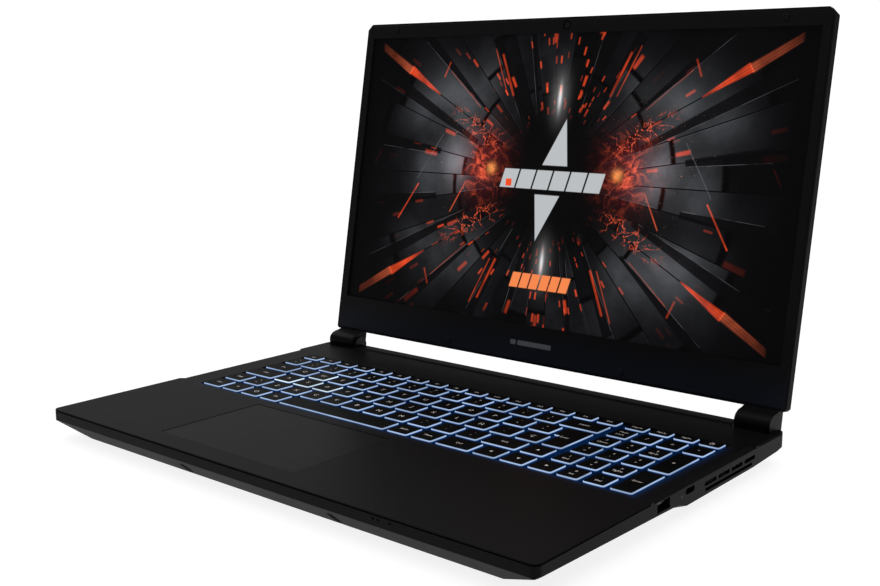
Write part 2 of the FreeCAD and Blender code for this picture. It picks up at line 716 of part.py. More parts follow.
# The axis seen from the lid: below its lower edge, and just in front of its face.
AXIS_UP = ((HINGE_Y - LID_FOOT_Y) * math.cos(LID_TURN)
           + (HINGE_Z - LID_FOOT_Z) * math.sin(LID_TURN))
AXIS_OUT = (-(HINGE_Y - LID_FOOT_Y) * math.sin(LID_TURN)
            + (HINGE_Z - LID_FOOT_Z) * math.cos(LID_TURN))
ARM_THICK = 1.6
ARM_X = (157.0, 170.5)
ARM_Z = -6.3                # the arm's rear face, in the lid


def hinge_arm(margin=0.0):
    """The steel arm in the lid, with the knuckle that turns on the hinge pin."""
    x0, x1 = ARM_X[0] - margin, ARM_X[1] + margin
    low, high = ARM_Z - margin, ARM_Z + ARM_THICK + margin
    flat = box(x0, x1, 0, 62, low, high)
    web = prism_x([(3, low), (3, high), (0.5, high), (AXIS_UP - 1.5, AXIS_OUT + 1.5 + margin),
                   (AXIS_UP - 1.5, AXIS_OUT - 3 - margin), (0, low)], x0, x1)
    knuckle = rod(x0, x1, AXIS_UP, AXIS_OUT, 4.8 + margin)
    arm = on_lid(fuse([flat, web, knuckle]))
    if margin:
        return arm
    return arm.cut(rod(x0 - 1, x1 + 1, HINGE_Y, HINGE_Z, SHAFT_R + SHAFT_PLAY))


def hinge_bracket():
    """Bolted under the deck: a flange, an ear and the pin that the lid turns on."""
    flange = box(122, HINGE_IN + EAR, 200.5, 232, DECK - 3.4, DECK - PLATE - 0.1)
    flange = flange.cut(box(100, HINGE_IN + 0.4, 226.4, 240, 0, DECK + 5))
    web = prism_x([(224, DECK - 3.4), (240, DECK - 5.4), (HINGE_Y + 3, HINGE_Z),
                   (HINGE_Y - 4, HINGE_Z + 2), (229, DECK - PLATE - 0.1),
                   (224, DECK - PLATE - 0.1)], HINGE_IN, HINGE_IN + EAR)
    ear = rod(HINGE_IN, HINGE_IN + EAR, HINGE_Y, HINGE_Z, 6.0)
    pin = rod(HINGE_IN + EAR / 2, ARM_X[1] + 0.8, HINGE_Y, HINGE_Z, SHAFT_R)
    collar = rod(HINGE_IN + EAR / 2, ARM_X[0] - 0.4, HINGE_Y, HINGE_Z, 3.0)
    return fuse([flange, web, ear, pin, collar])


def cap_outline(x):
    """The hinge cover's rounded profile, around the hinge axis."""
    def at(dy, dz):
        return Vector(x, HINGE_Y + dy, HINGE_Z + dz)

    def arc(a, b, c):
        return Part.Arc(at(*a), at(*b), at(*c)).toShape()

    def line(a, b):
        return Part.LineSegment(at(*a), at(*b)).toShape()

    edges = [arc((-9.0, 0.6), (-9.3, 3.6), (-8.0, 6.4)),
             arc((-8.0, 6.4), (-4.8, 8.2), (-1.0, 8.75)),
             line((-1.0, 8.75), (2.34, 9.55)),
             line((2.34, 9.55), (8.0, 8.55)),
             line((8.0, 8.55), (6.7, 0.4)),
             arc((6.7, 0.4), (3.2, -5.9), (-2.5, -7.0)),
             arc((-2.5, -7.0), (-7.5, -4.5), (-9.0, 0.6))]
    return Part.Face(Part.Wire(edges))


def hinge_cap():
    x0, x1 = HINGE_IN + EAR + 0.3, HINGE_OUT
    outline = cap_outline(x0)
    body = outline.extrude(Vector(x1 - x0, 0, 0))
    hollow = outline.makeOffset2D(-1.3).extrude(Vector(x1 - x0 - 2.4, 0, 0))
    hollow.translate(Vector(1.2, 0, 0))
    pin_hole = rod(x0 - 1, x0 + 2, HINGE_Y, HINGE_Z, 3.3)
    return cut(body, [hollow, pin_hole, hinge_arm(0.3), cable_passage()])


def cable_passage():
    """A notch through the lid's lower wall into the hinge cover."""
    return on_lid(box(171.2, 173.8, -2.8, 1.8, -3.9, -1.7))


# ---- lid ---------------------------------------------------------------------------

def lid_plan(inset, low, high):
    """The lid's outline with its corners cut, Y up from the lower edge."""
    half = LID_WIDTH / 2 - inset
    bottom, top = inset, LID_HEIGHT - inset
    c = LID_CORNER - inset * 0.4
    small = 1.5
    outline = [(-half + small, bottom), (half - small, bottom), (half, bottom + small),
               (half, top - c), (half - c, top), (-half + c, top), (-half, top - c),
               (-half, bottom + small)]
    return prism_z(outline, low, high)


def lid_cover():
    outer = lid_plan(0, -LID_THICK, -0.35)
    rim = [e for e in outer.Edges if max(v.Z for v in e.Vertexes) < -LID_THICK + 1e-4]
    outer = outer.makeChamfer(LID_BEVEL, rim)
    inner = lid_plan(LID_WALL, -LID_THICK + LID_WALL, 1)
    shell = outer.cut(inner)
    ribs = [box(-150, 150, y, y + 1.0, -LID_THICK + LID_WALL - 0.2, -LID_THICK + 2.4)
            for y in (60, 120, 180)]
    shell = on_lid(fuse([shell] + ribs))
    return cut(shell, both_sides(hinge_arm(0.4)) + both_sides(cable_passage()))


def display_bezel():
    half = LID_WIDTH / 2 - BEZEL_SIDE
    outer = chamfer_top(lid_plan(LID_WALL + 0.15, -BEZEL_THICK, 0), 0.3)
    window = box(-half, half, BEZEL_CHIN, LID_HEIGHT - BEZEL_TOP, -5, 5)
    bevel = prism_y([(-half - 0.5, 0.01), (-half + 1, -1.49), (half - 1, -1.49),
                     (half + 0.5, 0.01)], BEZEL_CHIN, LID_HEIGHT - BEZEL_TOP)
    eye = post(0, LID_HEIGHT - BEZEL_TOP / 2, -5, 5, 2.2)
    return on_lid(cut(outer, [window, bevel, eye]))


def lcd_glass():
    return on_lid(box(-173.6, 173.6, BEZEL_CHIN - 3, LID_HEIGHT - BEZEL_TOP + 2,
                      -BEZEL_THICK - 0.1 - GLASS_THICK, -BEZEL_THICK - 0.1))


def lcd_backlight():
    high = -BEZEL_THICK - 0.1 - GLASS_THICK
    return on_lid(box(-175, 175, 15, LID_HEIGHT - BEZEL_TOP + 2.4, high - PANEL_THICK, high))


def webcam_board():
    y = LID_HEIGHT - BEZEL_TOP / 2
    return on_lid(box(-30, 30, y - 2.4, y + 3.0, -BEZEL_THICK - 2.2, -BEZEL_THICK - 0.1))


def webcam_lens():
    y = LID_HEIGHT - BEZEL_TOP / 2
    return on_lid(post(0, y, -BEZEL_THICK - 0.1, -0.25, 2.0))


def wifi_antennas():
    y = LID_HEIGHT - BEZEL_TOP + 3.2
    return both_sides(on_lid(box(60, 110, y, y + 5, -3.4, -2.8)))


def lid_bumpers():
    bumps = []
    for x, y in ((150, LID_HEIGHT - 5.0), (70, 6.0)):
        pad = post(x, y, 0, 0.8, 2.2)
        bumps += both_sides(on_lid(chamfer_top(pad, 0.3)))
    return bumps


def display_cable():
    """From the panel's connector along the chin and down into the left hinge cover."""
    route = [(-60.0, 12.0, -3.2), (-112.0, 8.6, -3.2), (-150.0, 7.6, -3.0),
             (-172.5, 5.2, -2.8), (-172.5, -7.0, -2.8)]
    return on_lid(tube(route, 0.9))


def tube(route, radius):
    """Straight runs joined by tangent arcs, as large as the shorter run allows."""
    points = [Vector(*p) for p in route]
    edges = []
    start = points[0]
    for before, corner, beyond in zip(points, points[1:], points[2:]):
        run_in = corner - before
        run_out = beyond - corner
        trim = 0.45 * min(run_in.Length, run_out.Length)
        enter = corner - run_in.normalize() * trim
        leave = corner + run_out.normalize() * trim
        turn = run_in.getAngle(run_out)
        chord = (enter + leave) * 0.5
        sag = trim * math.cos(turn / 2) * math.tan(turn / 4)
        middle = chord + (corner - chord).normalize() * sag
        edges.append(Part.LineSegment(start, enter).toShape())
        edges.append(Part.Arc(enter, middle, leave).toShape())
        start = leave
    edges.append(Part.LineSegment(start, points[-1]).toShape())
    spine = Part.Wire(edges)
    ring = Part.Wire(Part.makeCircle(radius, points[0], points[1] - points[0]))
    return spine.makePipeShell([ring], True, True)


# ---- write every node --------------------------------------------------------------

def save_pair(name, solids):
    """A piece on the right and its mirror image on the left."""
    save(name + "_right", [s.copy() for s in solids])
    save(name + "_left", [mirrored(s) for s in solids])


def build_lid():
    save("lid_cover", [lid_cover()])
    save("display_bezel", [display_bezel()])
    save("lcd_glass", [lcd_glass()])
    save("lcd_backlight", [lcd_backlight()])
    save("webcam_board", [webcam_board()])
    save("webcam_lens", [webcam_lens()])
    save("wifi_antennas", wifi_antennas())
    save("lid_bumpers", lid_bumpers())
    save("display_cable", [display_cable()])
    save_pair("hinge_cap", [hinge_cap()])
    save_pair("hinge_arm", [hinge_arm()])


def build_base():
    save("top_case", [top_case()])
    save("bottom_cover", [bottom_cover()])
    save("case_screws", case_screws())
    save("rubber_feet", rubber_feet())
    save("status_lights", status_lights())
    save("keyboard_plate", [keyboard_plate()])
    save("keyboard_light_guide", [keyboard_light_guide()])
    save("touchpad", [touchpad()])
    save_pair("hinge_bracket", [hinge_bracket()])


def build_inside():
    save("main_board", main_board())
    save("heat_pipes", heat_pipes())
    save_pair("heat_sink", heat_sink())
    save_pair("fan_housing", [fan_housing()])
    save_pair("fan_rotor", [fan_rotor()])
    save("battery_pack", battery_pack())
    save("memory_modules", memory_modules())
    save("ssd_drive", ssd_drive())
    save("wifi_card", wifi_card())
    save_pair("speaker", [speaker()])


def build_ports():
    save("usb_a_ports", both_sides(usb_a_port()))
    save("usb_c_port", [usb_c_port()])
    save("audio_jack", [audio_jack()])
    save("ethernet_jack", [ethernet_jack()])
    save("hdmi_port", [hdmi_port()])
    save("power_inlet", [power_inlet()])


def build_keys():
    names = ("bottom_row_keys", "shift_row_keys", "home_row_keys",
             "letter_row_keys", "number_row_keys", "function_row_keys")
    for row, name in enumerate(names):
        save(name, key_row(row))
    single_keys()


os.makedirs("parts", exist_ok=True)
build_lid()
build_base()
build_inside()
build_ports()
build_keys()
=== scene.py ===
import functools
import math

import bmesh
import bpy
from mathutils import Matrix, Vector


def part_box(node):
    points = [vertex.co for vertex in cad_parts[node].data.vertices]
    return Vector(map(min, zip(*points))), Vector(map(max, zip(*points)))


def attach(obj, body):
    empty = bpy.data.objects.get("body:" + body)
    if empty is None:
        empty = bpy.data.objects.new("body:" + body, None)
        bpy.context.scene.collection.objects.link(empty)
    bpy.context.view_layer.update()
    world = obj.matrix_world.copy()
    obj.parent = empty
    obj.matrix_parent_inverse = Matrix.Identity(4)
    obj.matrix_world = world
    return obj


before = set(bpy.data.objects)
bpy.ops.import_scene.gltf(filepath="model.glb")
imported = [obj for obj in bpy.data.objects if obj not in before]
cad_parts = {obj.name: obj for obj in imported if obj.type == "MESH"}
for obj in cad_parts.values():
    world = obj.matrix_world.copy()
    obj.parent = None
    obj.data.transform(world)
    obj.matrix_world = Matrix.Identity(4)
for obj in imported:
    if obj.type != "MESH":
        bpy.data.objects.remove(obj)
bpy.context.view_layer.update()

# A laptop computer with its lid open, a lit keyboard and a picture on its screen. Metres.

MM = 0.001

# ---- places taken from the frame ---------------------------------------------------

LEAN = math.radians(80)             # the lid's face, from the deck's direction
UP_LID = Vector((0, math.cos(LEAN), math.sin(LEAN)))
OUT_OF_LID = Vector((0, -math.sin(LEAN), math.cos(LEAN)))
GLASS_THICKNESS = 0.8 * MM
GLASS_LOW, GLASS_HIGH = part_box("lcd_glass")
GLASS_FOOT = Vector((0, GLASS_LOW.y, GLASS_LOW.z + GLASS_THICKNESS * math.cos(LEAN)))
GLASS_HEIGHT = (GLASS_HIGH.z - GLASS_FOOT.z) / UP_LID.z
WINDOW_LOW = 3.0 * MM               # the bezel covers this much of the glass's foot
WINDOW_HIGH = GLASS_HEIGHT - 2.0 * MM       # and 2 mm of its top
HALF_SCREEN = (WINDOW_HIGH - WINDOW_LOW) / 2
SCREEN_CENTRE = GLASS_FOOT + UP_LID * (WINDOW_LOW + HALF_SCREEN)
FACE_OUT = 1.6 * MM                 # from the glass to the lid's face

DECK_LOW, DECK_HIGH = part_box("top_case")
KEY_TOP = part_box("space_bar")[1].z
KEY_PROUD = 0.6 * MM                # how far the keys stand above the deck
DECK_Z = KEY_TOP - KEY_PROUD
FRONT_BAND = 6.3 * MM               # height of the deck's front band, above the facet
FACET_MIDDLE = 6.2 * MM             # from the front band's foot, back and down
INK = 0.02 * MM                     # how proud a printed legend stands

KEY_NODES = [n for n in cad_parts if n.endswith(("_keys", "_key")) or n == "space_bar"]
KEY_CORNERS = [corner for node in KEY_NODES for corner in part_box(node)]
KEYS_LOW = [min(corner[axis] for corner in KEY_CORNERS) for axis in (0, 1)]
KEYS_HIGH = [max(corner[axis] for corner in KEY_CORNERS) for axis in (0, 1)]
WELL_MARGIN = 1.6 * MM              # from the outer keys to the edge of the keyboard well
CHIN_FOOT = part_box("display_bezel")[0].z
CHIN_TOP = GLASS_LOW.z + 4 * MM


# ---- material helper ---------------------------------------------------------------

MIX_FIRST, MIX_SECOND, MIX_RESULT = 6, 7, 2     # a Mix node's sockets for colours


class Graph:
    """Writes a material's nodes as formulas. Values are numbers or other nodes' sockets."""

    def __init__(self, name):
        self.material = bpy.data.materials.new(name)
        self.material.use_nodes = True
        self.tree = self.material.node_tree
        self.shader = self.tree.nodes["Principled BSDF"]
        self.place = self.node("TexCoord").outputs["Object"]

    def node(self, kind, **settings):
        node = self.tree.nodes.new("ShaderNode" + kind)
        for key, value in settings.items():
            setattr(node, key, value)
        return node

    def feed(self, socket, value):
        if isinstance(value, bpy.types.NodeSocket):
            self.tree.links.new(value, socket)
        else:
            socket.default_value = value

    def set(self, **inputs):
        """Sets the shader's own sockets: underscores stand for spaces."""
        for name, value in inputs.items():
            self.feed(self.shader.inputs[name.replace("_", " ")], value)

    def math(self, operation, *values):
        node = self.node("Math", operation=operation)
        for socket, value in zip(node.inputs, values):
            self.feed(socket, value)
        return node.outputs[0]

    def vector(self, operation, *values, output="Vector"):
        node = self.node("VectorMath", operation=operation)
        for socket, value in zip(node.inputs, values):
            self.feed(socket, value)
        return node.outputs[output]

    def dot(self, first, second):
        return self.vector("DOT_PRODUCT", first, second, output="Value")

    def scaled(self, vector, factor):
        node = self.node("VectorMath", operation="SCALE")
        self.feed(node.inputs[0], vector)
        self.feed(node.inputs["Scale"], factor)
        return node.outputs["Vector"]

    def add(self, *values):
        total = values[0]
        for value in values[1:]:
            total = self.math("ADD", total, value)
        return total

    def times(self, *values):
        total = values[0]
        for value in values[1:]:
            total = self.math("MULTIPLY", total, value)
        return total

    def absolute(self, value):
        return self.math("ABSOLUTE", value)

    def to_whole(self, value):
        """How far a value is from the nearest whole number, 0 to 0.5."""
        return self.math("PINGPONG", self.math("FRACT", value), 0.5)

    def ramp(self, value, low, high, out_low=0.0, out_high=1.0):
        """Goes smoothly from out_low to out_high while value goes from low to high."""
        node = self.node("MapRange", interpolation_type="SMOOTHSTEP")
        for socket, number in zip(node.inputs, (value, low, high, out_low, out_high)):
            self.feed(socket, number)
        return node.outputs[0]

    def split(self, vector):
        node = self.node("SeparateXYZ")
        self.feed(node.inputs[0], vector)
        return node.outputs

    def axis(self, vector, letter):
        return self.split(vector)["XYZ".index(letter)]

    def join(self, x, y, z=0.0):
        node = self.node("CombineXYZ")
        for socket, value in zip(node.inputs, (x, y, z)):
            self.feed(socket, value)
        return node.outputs[0]

    def noise(self, place, scale, detail=3.0, roughness=0.5, distortion=0.0):
        """Cloudy noise from 0 to 1, with scale clouds to the metre."""
        node = self.node("TexNoise")
        self.feed(node.inputs["Vector"], place)
        node.inputs["Scale"].default_value = scale
        node.inputs["Detail"].default_value = detail
        node.inputs["Roughness"].default_value = roughness
        node.inputs["Distortion"].default_value = distortion
        return node.outputs[0]

    def uneven(self, scale, low=0.8, high=1.2):
        """A factor that varies slowly over the surface."""
        return self.ramp(self.noise(self.place, scale, 2.0), 0.3, 0.7, low, high)

    def cells(self, place, scale, output="Distance"):
        """The distance to the nearest of scattered points, or that point's position."""
        node = self.node("TexVoronoi", feature="F1")
        self.feed(node.inputs["Vector"], place)
        node.inputs["Scale"].default_value = scale
        return node.outputs[output]

    def random(self, place):
        node = self.node("TexWhiteNoise", noise_dimensions="3D")
        self.feed(node.inputs["Vector"], place)
        return node.outputs["Value"]

    def blend(self, share, first, second):
        """first where share is 0, second where it is 1, for colours."""
        node = self.node("Mix", data_type="RGBA")
        self.feed(node.inputs["Factor"], share)
        for index, value in ((MIX_FIRST, first), (MIX_SECOND, second)):
            colour = (*value, 1.0) if isinstance(value, tuple) else value
            self.feed(node.inputs[index], colour)
        return node.outputs[MIX_RESULT]

    def within(self, x, y, box, soft):
        """1 inside a box of (x0, x1, y0, y1), and 0 outside it."""
        x0, x1, y0, y1 = box
        across = self.absolute(self.add(x, -(x0 + x1) / 2))
        along = self.absolute(self.add(y, -(y0 + y1) / 2))
        return self.times(self.ramp(across, (x1 - x0) / 2 + soft, (x1 - x0) / 2),
                          self.ramp(along, (y1 - y0) / 2 + soft, (y1 - y0) / 2))

    def bump(self, height, strength, distance):
        node = self.node("Bump")
        node.inputs["Strength"].default_value = strength
        node.inputs["Distance"].default_value = distance
        self.feed(node.inputs["Height"], height)
        self.feed(self.shader.inputs["Normal"], node.outputs[0])


def shade(colour, factor):
    return tuple(min(1.0, part * factor) for part in colour)


# ---- materials ---------------------------------------------------------------------

CLEAR_LIGHT = (0.68, 0.84, 0.96)    # the keys' light: at the clear skirts of W, A, S and D,
SKIRT_LIGHT = (0.34, 0.46, 0.68)    # at the other keys' skirts,
FOOT_LIGHT = (0.0015, 0.024, 0.105)     # at their feet,
GAP_LIGHT = (0.0008, 0.010, 0.042)  # between them,
SPILL_LIGHT = (0.0, 0.013, 0.053)   # on the deck beside them,
CHIN_LIGHT = (0.0010, 0.0017, 0.0035)   # and on the chin
SPILL_REACH = 1.4 * MM

GRAIN = 2600.0                      # the usual moulded grain, in spots to the metre


def grained(name, colour, roughness, specular, grain=GRAIN, relief=0.5):
    """Moulded plastic: spark-eroded grain, slightly uneven gloss, faint handling marks."""
    g = Graph(name)
    fine = g.noise(g.place, grain, 2.0, 0.6)
    pores = g.cells(g.place, grain * 0.45)
    cloud = g.noise(g.place, 14.0, 4.0, 0.55)
    smudge = g.noise(g.place, 55.0, 5.0, 0.65, 0.6)
    tone = g.add(g.ramp(cloud, 0.3, 0.7, 0.0, 0.5), g.ramp(fine, 0.35, 0.7, 0.0, 0.5))
    g.set(Base_Color=g.blend(tone, shade(colour, 0.9), shade(colour, 1.1)))
    gloss = g.add(g.ramp(smudge, 0.35, 0.75, -0.012, 0.012), g.ramp(fine, 0.3, 0.7, -0.03, 0.03))
    g.set(Roughness=g.add(gloss, roughness), Specular_IOR_Level=specular)
    g.bump(g.add(fine, g.times(pores, 0.5)), strength=relief, distance=0.03 * MM)
    return g


def moulded(name, colour, roughness, specular, **texture):
    return grained(name, colour, roughness, specular, **texture).material


def lit_deck(name, colour, roughness, specular):
    """Deck plastic, with the keys' light spilling onto it at the keyboard's front and right."""
    g = grained(name, colour, roughness, specular)
    place = g.split(g.place)
    apart = []
    for axis in (0, 1):
        middle = (KEYS_LOW[axis] + KEYS_HIGH[axis]) / 2
        half = (KEYS_HIGH[axis] - KEYS_LOW[axis]) / 2 + WELL_MARGIN
        apart.append(g.add(g.absolute(g.add(place[axis], -middle)), -half))
    away = g.math("MAXIMUM", g.math("MAXIMUM", *apart), 0.0)
    right = g.ramp(place[0], KEYS_HIGH[0] - 2 * MM, KEYS_HIGH[0] + WELL_MARGIN)
    front = g.ramp(place[1], KEYS_LOW[1] + 2 * MM, KEYS_LOW[1] - WELL_MARGIN, 0.0, 0.6)
    right = g.times(right, g.ramp(place[1], KEYS_HIGH[1] + MM, KEYS_HIGH[1] - 12 * MM))
    sides = g.math("MAXIMUM", right, front)
    spill = g.times(g.math("EXPONENT", g.times(away, -1 / SPILL_REACH)), sides)
    g.set(Emission_Color=(*SPILL_LIGHT, 1.0), Emission_Strength=g.times(spill, g.uneven(45.0)))
    return g.material


def lit_bezel(name, colour, roughness, specular):
    """Bezel plastic, with a little of the keys' light on its chin."""
    g = grained(name, colour, roughness, specular)
    chin = g.ramp(g.axis(g.place, "Z"), CHIN_FOOT, CHIN_TOP, 1.0, 0.0)
    g.set(Emission_Color=(*CHIN_LIGHT, 1.0), Emission_Strength=g.times(chin, g.uneven(20.0)))
    return g.material


def metal(name, colour, roughness=0.35, brushed=(1.0, 60.0, 60.0)):
    """Plated or brushed metal, with lines along one axis."""
    g = Graph(name)
    stretched = g.vector("MULTIPLY", g.place, brushed)
    lines = g.noise(stretched, 90.0, 4.0, 0.6)
    stain = g.noise(g.place, 40.0, 4.0, 0.6)
    g.set(Base_Color=g.blend(g.ramp(stain, 0.3, 0.75), shade(colour, 0.85), shade(colour, 1.08)))
    g.set(Metallic=1.0, Roughness=g.ramp(lines, 0.2, 0.8, roughness - 0.1, roughness + 0.12))
    g.bump(lines, strength=0.25, distance=0.02 * MM)
    return g.material


def rubber(name, colour, specular=0.3):
    """Matte rubber with a faint bloom and a pebbled face."""
    g = Graph(name)
    pebbles = g.cells(g.place, 1500.0)
    bloom = g.noise(g.place, 70.0, 5.0, 0.6)
    g.set(Base_Color=g.blend(g.ramp(bloom, 0.35, 0.75), shade(colour, 0.8), shade(colour, 1.6)))
    g.set(Roughness=g.ramp(bloom, 0.2, 0.8, 0.78, 0.92), Specular_IOR_Level=specular)
    g.bump(pebbles, strength=0.5, distance=0.05 * MM)
    return g.material


def circuit_board(name, colour):
    """Solder mask over copper tracks, with tinned pads."""
    g = Graph(name)
    x, y, _ = g.split(g.place)
    tracks = g.noise(g.vector("SNAP", g.place, (1.6 * MM, 0.8 * MM, 5 * MM)), 300.0, 0.0)
    run = g.ramp(g.math("PINGPONG", g.add(x, y), 0.5 * MM), 0.16 * MM, 0.24 * MM)
    pads = g.ramp(g.cells(g.place, 420.0), 0.16, 0.12)
    line = g.times(g.ramp(tracks, 0.5, 0.56), run)
    mask = g.blend(g.times(line, 0.7), colour, shade(colour, 2.4))
    tinned = g.times(pads, g.ramp(tracks, 0.56, 0.6))
    g.set(Base_Color=g.blend(tinned, mask, (0.55, 0.5, 0.38)))
    g.set(Metallic=tinned, Roughness=g.ramp(tracks, 0.3, 0.7, 0.38, 0.5))
    g.bump(line, strength=0.4, distance=0.05 * MM)
    return g.material


def fibre_wrap(name, colour):
    """Satin film with a fine weave, for the battery and the cable's sleeve."""
    g = Graph(name)
    x, y, z = g.split(g.place)
    threads = 9000.0                # radians to the metre
    warp = g.math("SINE", g.times(g.add(x, z), threads))
    weft = g.math("SINE", g.times(g.add(y, z), threads))
    weave = g.times(warp, weft)
    cloud = g.noise(g.place, 35.0, 4.0)
    g.set(Base_Color=g.blend(g.ramp(cloud, 0.3, 0.7), shade(colour, 0.8), shade(colour, 1.25)))
    g.set(Roughness=g.ramp(weave, -1.0, 1.0, 0.45, 0.62))
    g.bump(weave, strength=0.3, distance=0.03 * MM)
    return g.material


def smoked_lens(name, glow, strength, coat, specular, tint=1.0):
    """A dark light pipe or camera lens, with a faint glow in it: a lamp's light in a light pipe,
    a painted glow in a camera lens.
    """
    g = Graph(name)
    haze = g.noise(g.place, 900.0, 3.0)
    dark, light = (0.004, 0.004, 0.006), (0.012, 0.012, 0.016)
    g.set(Base_Color=g.blend(haze, shade(dark, tint), shade(light, tint)))
    g.set(Roughness=g.ramp(haze, 0.3, 0.7, 0.08, 0.2), Specular_IOR_Level=specular)
    g.set(Coat_Weight=coat, Coat_Roughness=0.05)
    g.set(Emission_Color=g.blend(haze, shade(glow, 0.7), glow), Emission_Strength=strength)
    return g.material


def clear_keys():
    """The boxes round W and round A, S and D, whose skirts are clearer than the others'."""
    first = key_box("home_row_keys", "A")
    last = key_box("home_row_keys", "D")
    return key_box("letter_row_keys", "W"), (first[0], last[1], first[2], first[3])


def key_plastic():
    """Matte black tops over translucent skirts, which the light below makes glow."""
    g = Graph("key_plastic")
    x, y, height = g.split(g.place)
    clear = g.math("MAXIMUM", *(g.within(x, y, box, 0.3 * MM) for box in clear_keys()))
    lit = g.ramp(height, KEY_TOP - 0.12 * MM, KEY_TOP - 0.30 * MM)
    fine = g.noise(g.place, 3000.0, 2.0, 0.6)
    worn = g.noise(g.place, 60.0, 4.0, 0.6, 0.5)
    g.set(Base_Color=g.blend(g.ramp(worn, 0.35, 0.75), (0.0012, 0.0012, 0.0014),
                             (0.0026, 0.0026, 0.0028)))
    g.set(Roughness=g.ramp(worn, 0.3, 0.7, 0.44, 0.56), Specular_IOR_Level=0.035)
    foot = g.ramp(height, KEY_TOP - 1.1 * MM, DECK_Z)
    power = g.times(lit, g.uneven(45.0, high=1.25), 1.05)
    skirt = g.blend(clear, SKIRT_LIGHT, CLEAR_LIGHT)
    g.set(Emission_Color=g.blend(foot, FOOT_LIGHT, skirt), Emission_Strength=power)
    g.bump(fine, strength=0.35, distance=0.03 * MM)
    return g.material


def light_guide():
    """The sheet under the keys, blue from the diodes along it."""
    g = Graph("light_guide")
    dots = g.ramp(g.cells(g.place, 900.0), 0.3, 0.2)
    g.set(Base_Color=g.blend(dots, (0.001, 0.003, 0.010), (0.003, 0.010, 0.04)), Roughness=0.5)
    g.set(Specular_IOR_Level=0.02)
    level = g.add(g.uneven(30.0, 0.6, 1.1), g.times(dots, 0.5))
    g.set(Emission_Color=g.blend(dots, GAP_LIGHT, (0.005, 0.024, 0.09)), Emission_Strength=level)
    return g.material


def ink(name, colour, strength):
    """Laser-etched legends and printed marks: flat, slightly uneven and glowing; the legends are
    lit from below, while the printed marks carry a painted glow.
    """
    g = Graph(name)
    patches = g.noise(g.place, 400.0, 3.0)
    g.set(Base_Color=g.blend(patches, shade(colour, 0.35), shade(colour, 0.5)), Roughness=0.6)
    g.set(Emission_Color=g.blend(patches, shade(colour, 0.8), colour), Emission_Strength=strength)
    return g.material


# ---- the picture on the screen -----------------------------------------------------
# Its unit is half the screen's height, from the screen's centre. The picture is a dark
# tunnel of panels with streaks of light, mirrored left to right and mostly top to bottom.

ORANGE = (0.88, 0.075, 0.018)
AMBER = (0.62, 0.11, 0.042)
EMBER = (1.0, 0.13, 0.05)
FLAME = (1.0, 0.42, 0.10)
SPARK = (1.0, 0.42, 0.22)
COAL = (0.35, 0.03, 0.04)
BLOCK_ORANGE = (0.93, 0.25, 0.08)
WHITE = (1.0, 1.0, 1.0)
GREY_LIGHT = (0.125, 0.130, 0.142)
BEAM_GREY = (0.10, 0.10, 0.11)
HAIRLINE_GREY = (0.15, 0.145, 0.155)
MARK_GREY = (0.50, 0.52, 0.54)
PANEL_GREY = (0.017, 0.0175, 0.020)
LIP_GREY = (0.050, 0.052, 0.058)
STRUT_BLACK = (0.0012, 0.0012, 0.0014)
MARK_BLACK = (0.002, 0.002, 0.002)
BLACK_LEVEL = (0.0010, 0.0010, 0.0012)      # what the panel gives off where it is black

SECTORS = 38                        # of the tunnel's panels

# Light behind the panels: the spot's centre, width, height and level.
DIAGONAL_CLOUDS = (((0.95, 0.52), 0.26, 0.19, 0.62),
                   ((0.62, 0.64), 0.14, 0.20, 0.30),
                   ((1.25, 0.42), 0.20, 0.12, 0.20))
SIDE_CLOUDS = (((0.84, 0.10), 0.13, 0.2, 1.3),
               ((1.12, -0.02), 0.12, 0.2, 0.45))
GLINTS = (((0.0, 0.56), 0.014, 0.075, 0.75),
          ((0.0, 0.56), 0.06, 0.15, 0.14))

# Black beams: centre, degrees, length, width and taper.
STRUTS = (((1.18, 0.50), 27, 1.15, 0.075, -0.035),
          ((0.93, 0.74), 41, 0.85, 0.050, -0.030),
          ((0.42, 0.66), 63, 0.75, 0.050, -0.040),
          ((0.22, 0.72), 79, 0.60, 0.030, -0.020),
          ((1.30, 0.20), 7, 0.60, 0.070, -0.050))

# Ribbed beams in each quarter: centre, degrees, length, width, taper, colour and level.
QUARTER_BEAMS = (((1.22, 0.67), 31, 0.36, 0.034, -0.08, ORANGE, 0.95),
                 ((1.55, 0.86), 31, 0.42, 0.052, 0.02, AMBER, 0.8),
                 ((0.46, 0.72), 66, 0.32, 0.014, 0.0, ORANGE, 0.75),
                 ((0.52, 0.74), 66, 0.36, 0.006, 0.0, ORANGE, 0.75),
                 ((0.83, 0.62), 40, 0.40, 0.004, 0.0, EMBER, 0.35),
                 ((1.02, 0.76), 112, 0.12, 0.012, 0.0, ORANGE, 0.45))

# Plain beams on each side: centre, degrees, length, width, colour and level.
HALF_BEAMS = (((1.27, -0.22), -58, 0.32, 0.010, ORANGE, 0.9),
              ((1.10, 0.12), -58, 0.40, 0.004, BEAM_GREY, 0.9),
              ((0.80, -0.16), -62, 0.26, 0.008, EMBER, 0.65),
              ((1.62, 0.10), -60, 0.12, 0.008, ORANGE, 0.15))

# Dashes: rows round the centre, dashes to a panel, seed, rarity and level.
DASHES = ((70, 6.0, 5.0, 0.962, 0.6),
          (120, 10.0, 9.0, 0.966, 0.7),
          (170, 12.0, 2.0, 0.975, 0.6))

# Sparks: scale, size and level.
SPARKS = ((24.0, 0.10, 1.0), (44.0, 0.12, 0.9), (70.0, 0.14, 0.6))


def directions(degrees):
    """The direction at this angle, and the one square to it."""
    turn = math.radians(degrees)
    return (math.cos(turn), math.sin(turn), 0.0), (-math.sin(turn), math.cos(turn), 0.0)


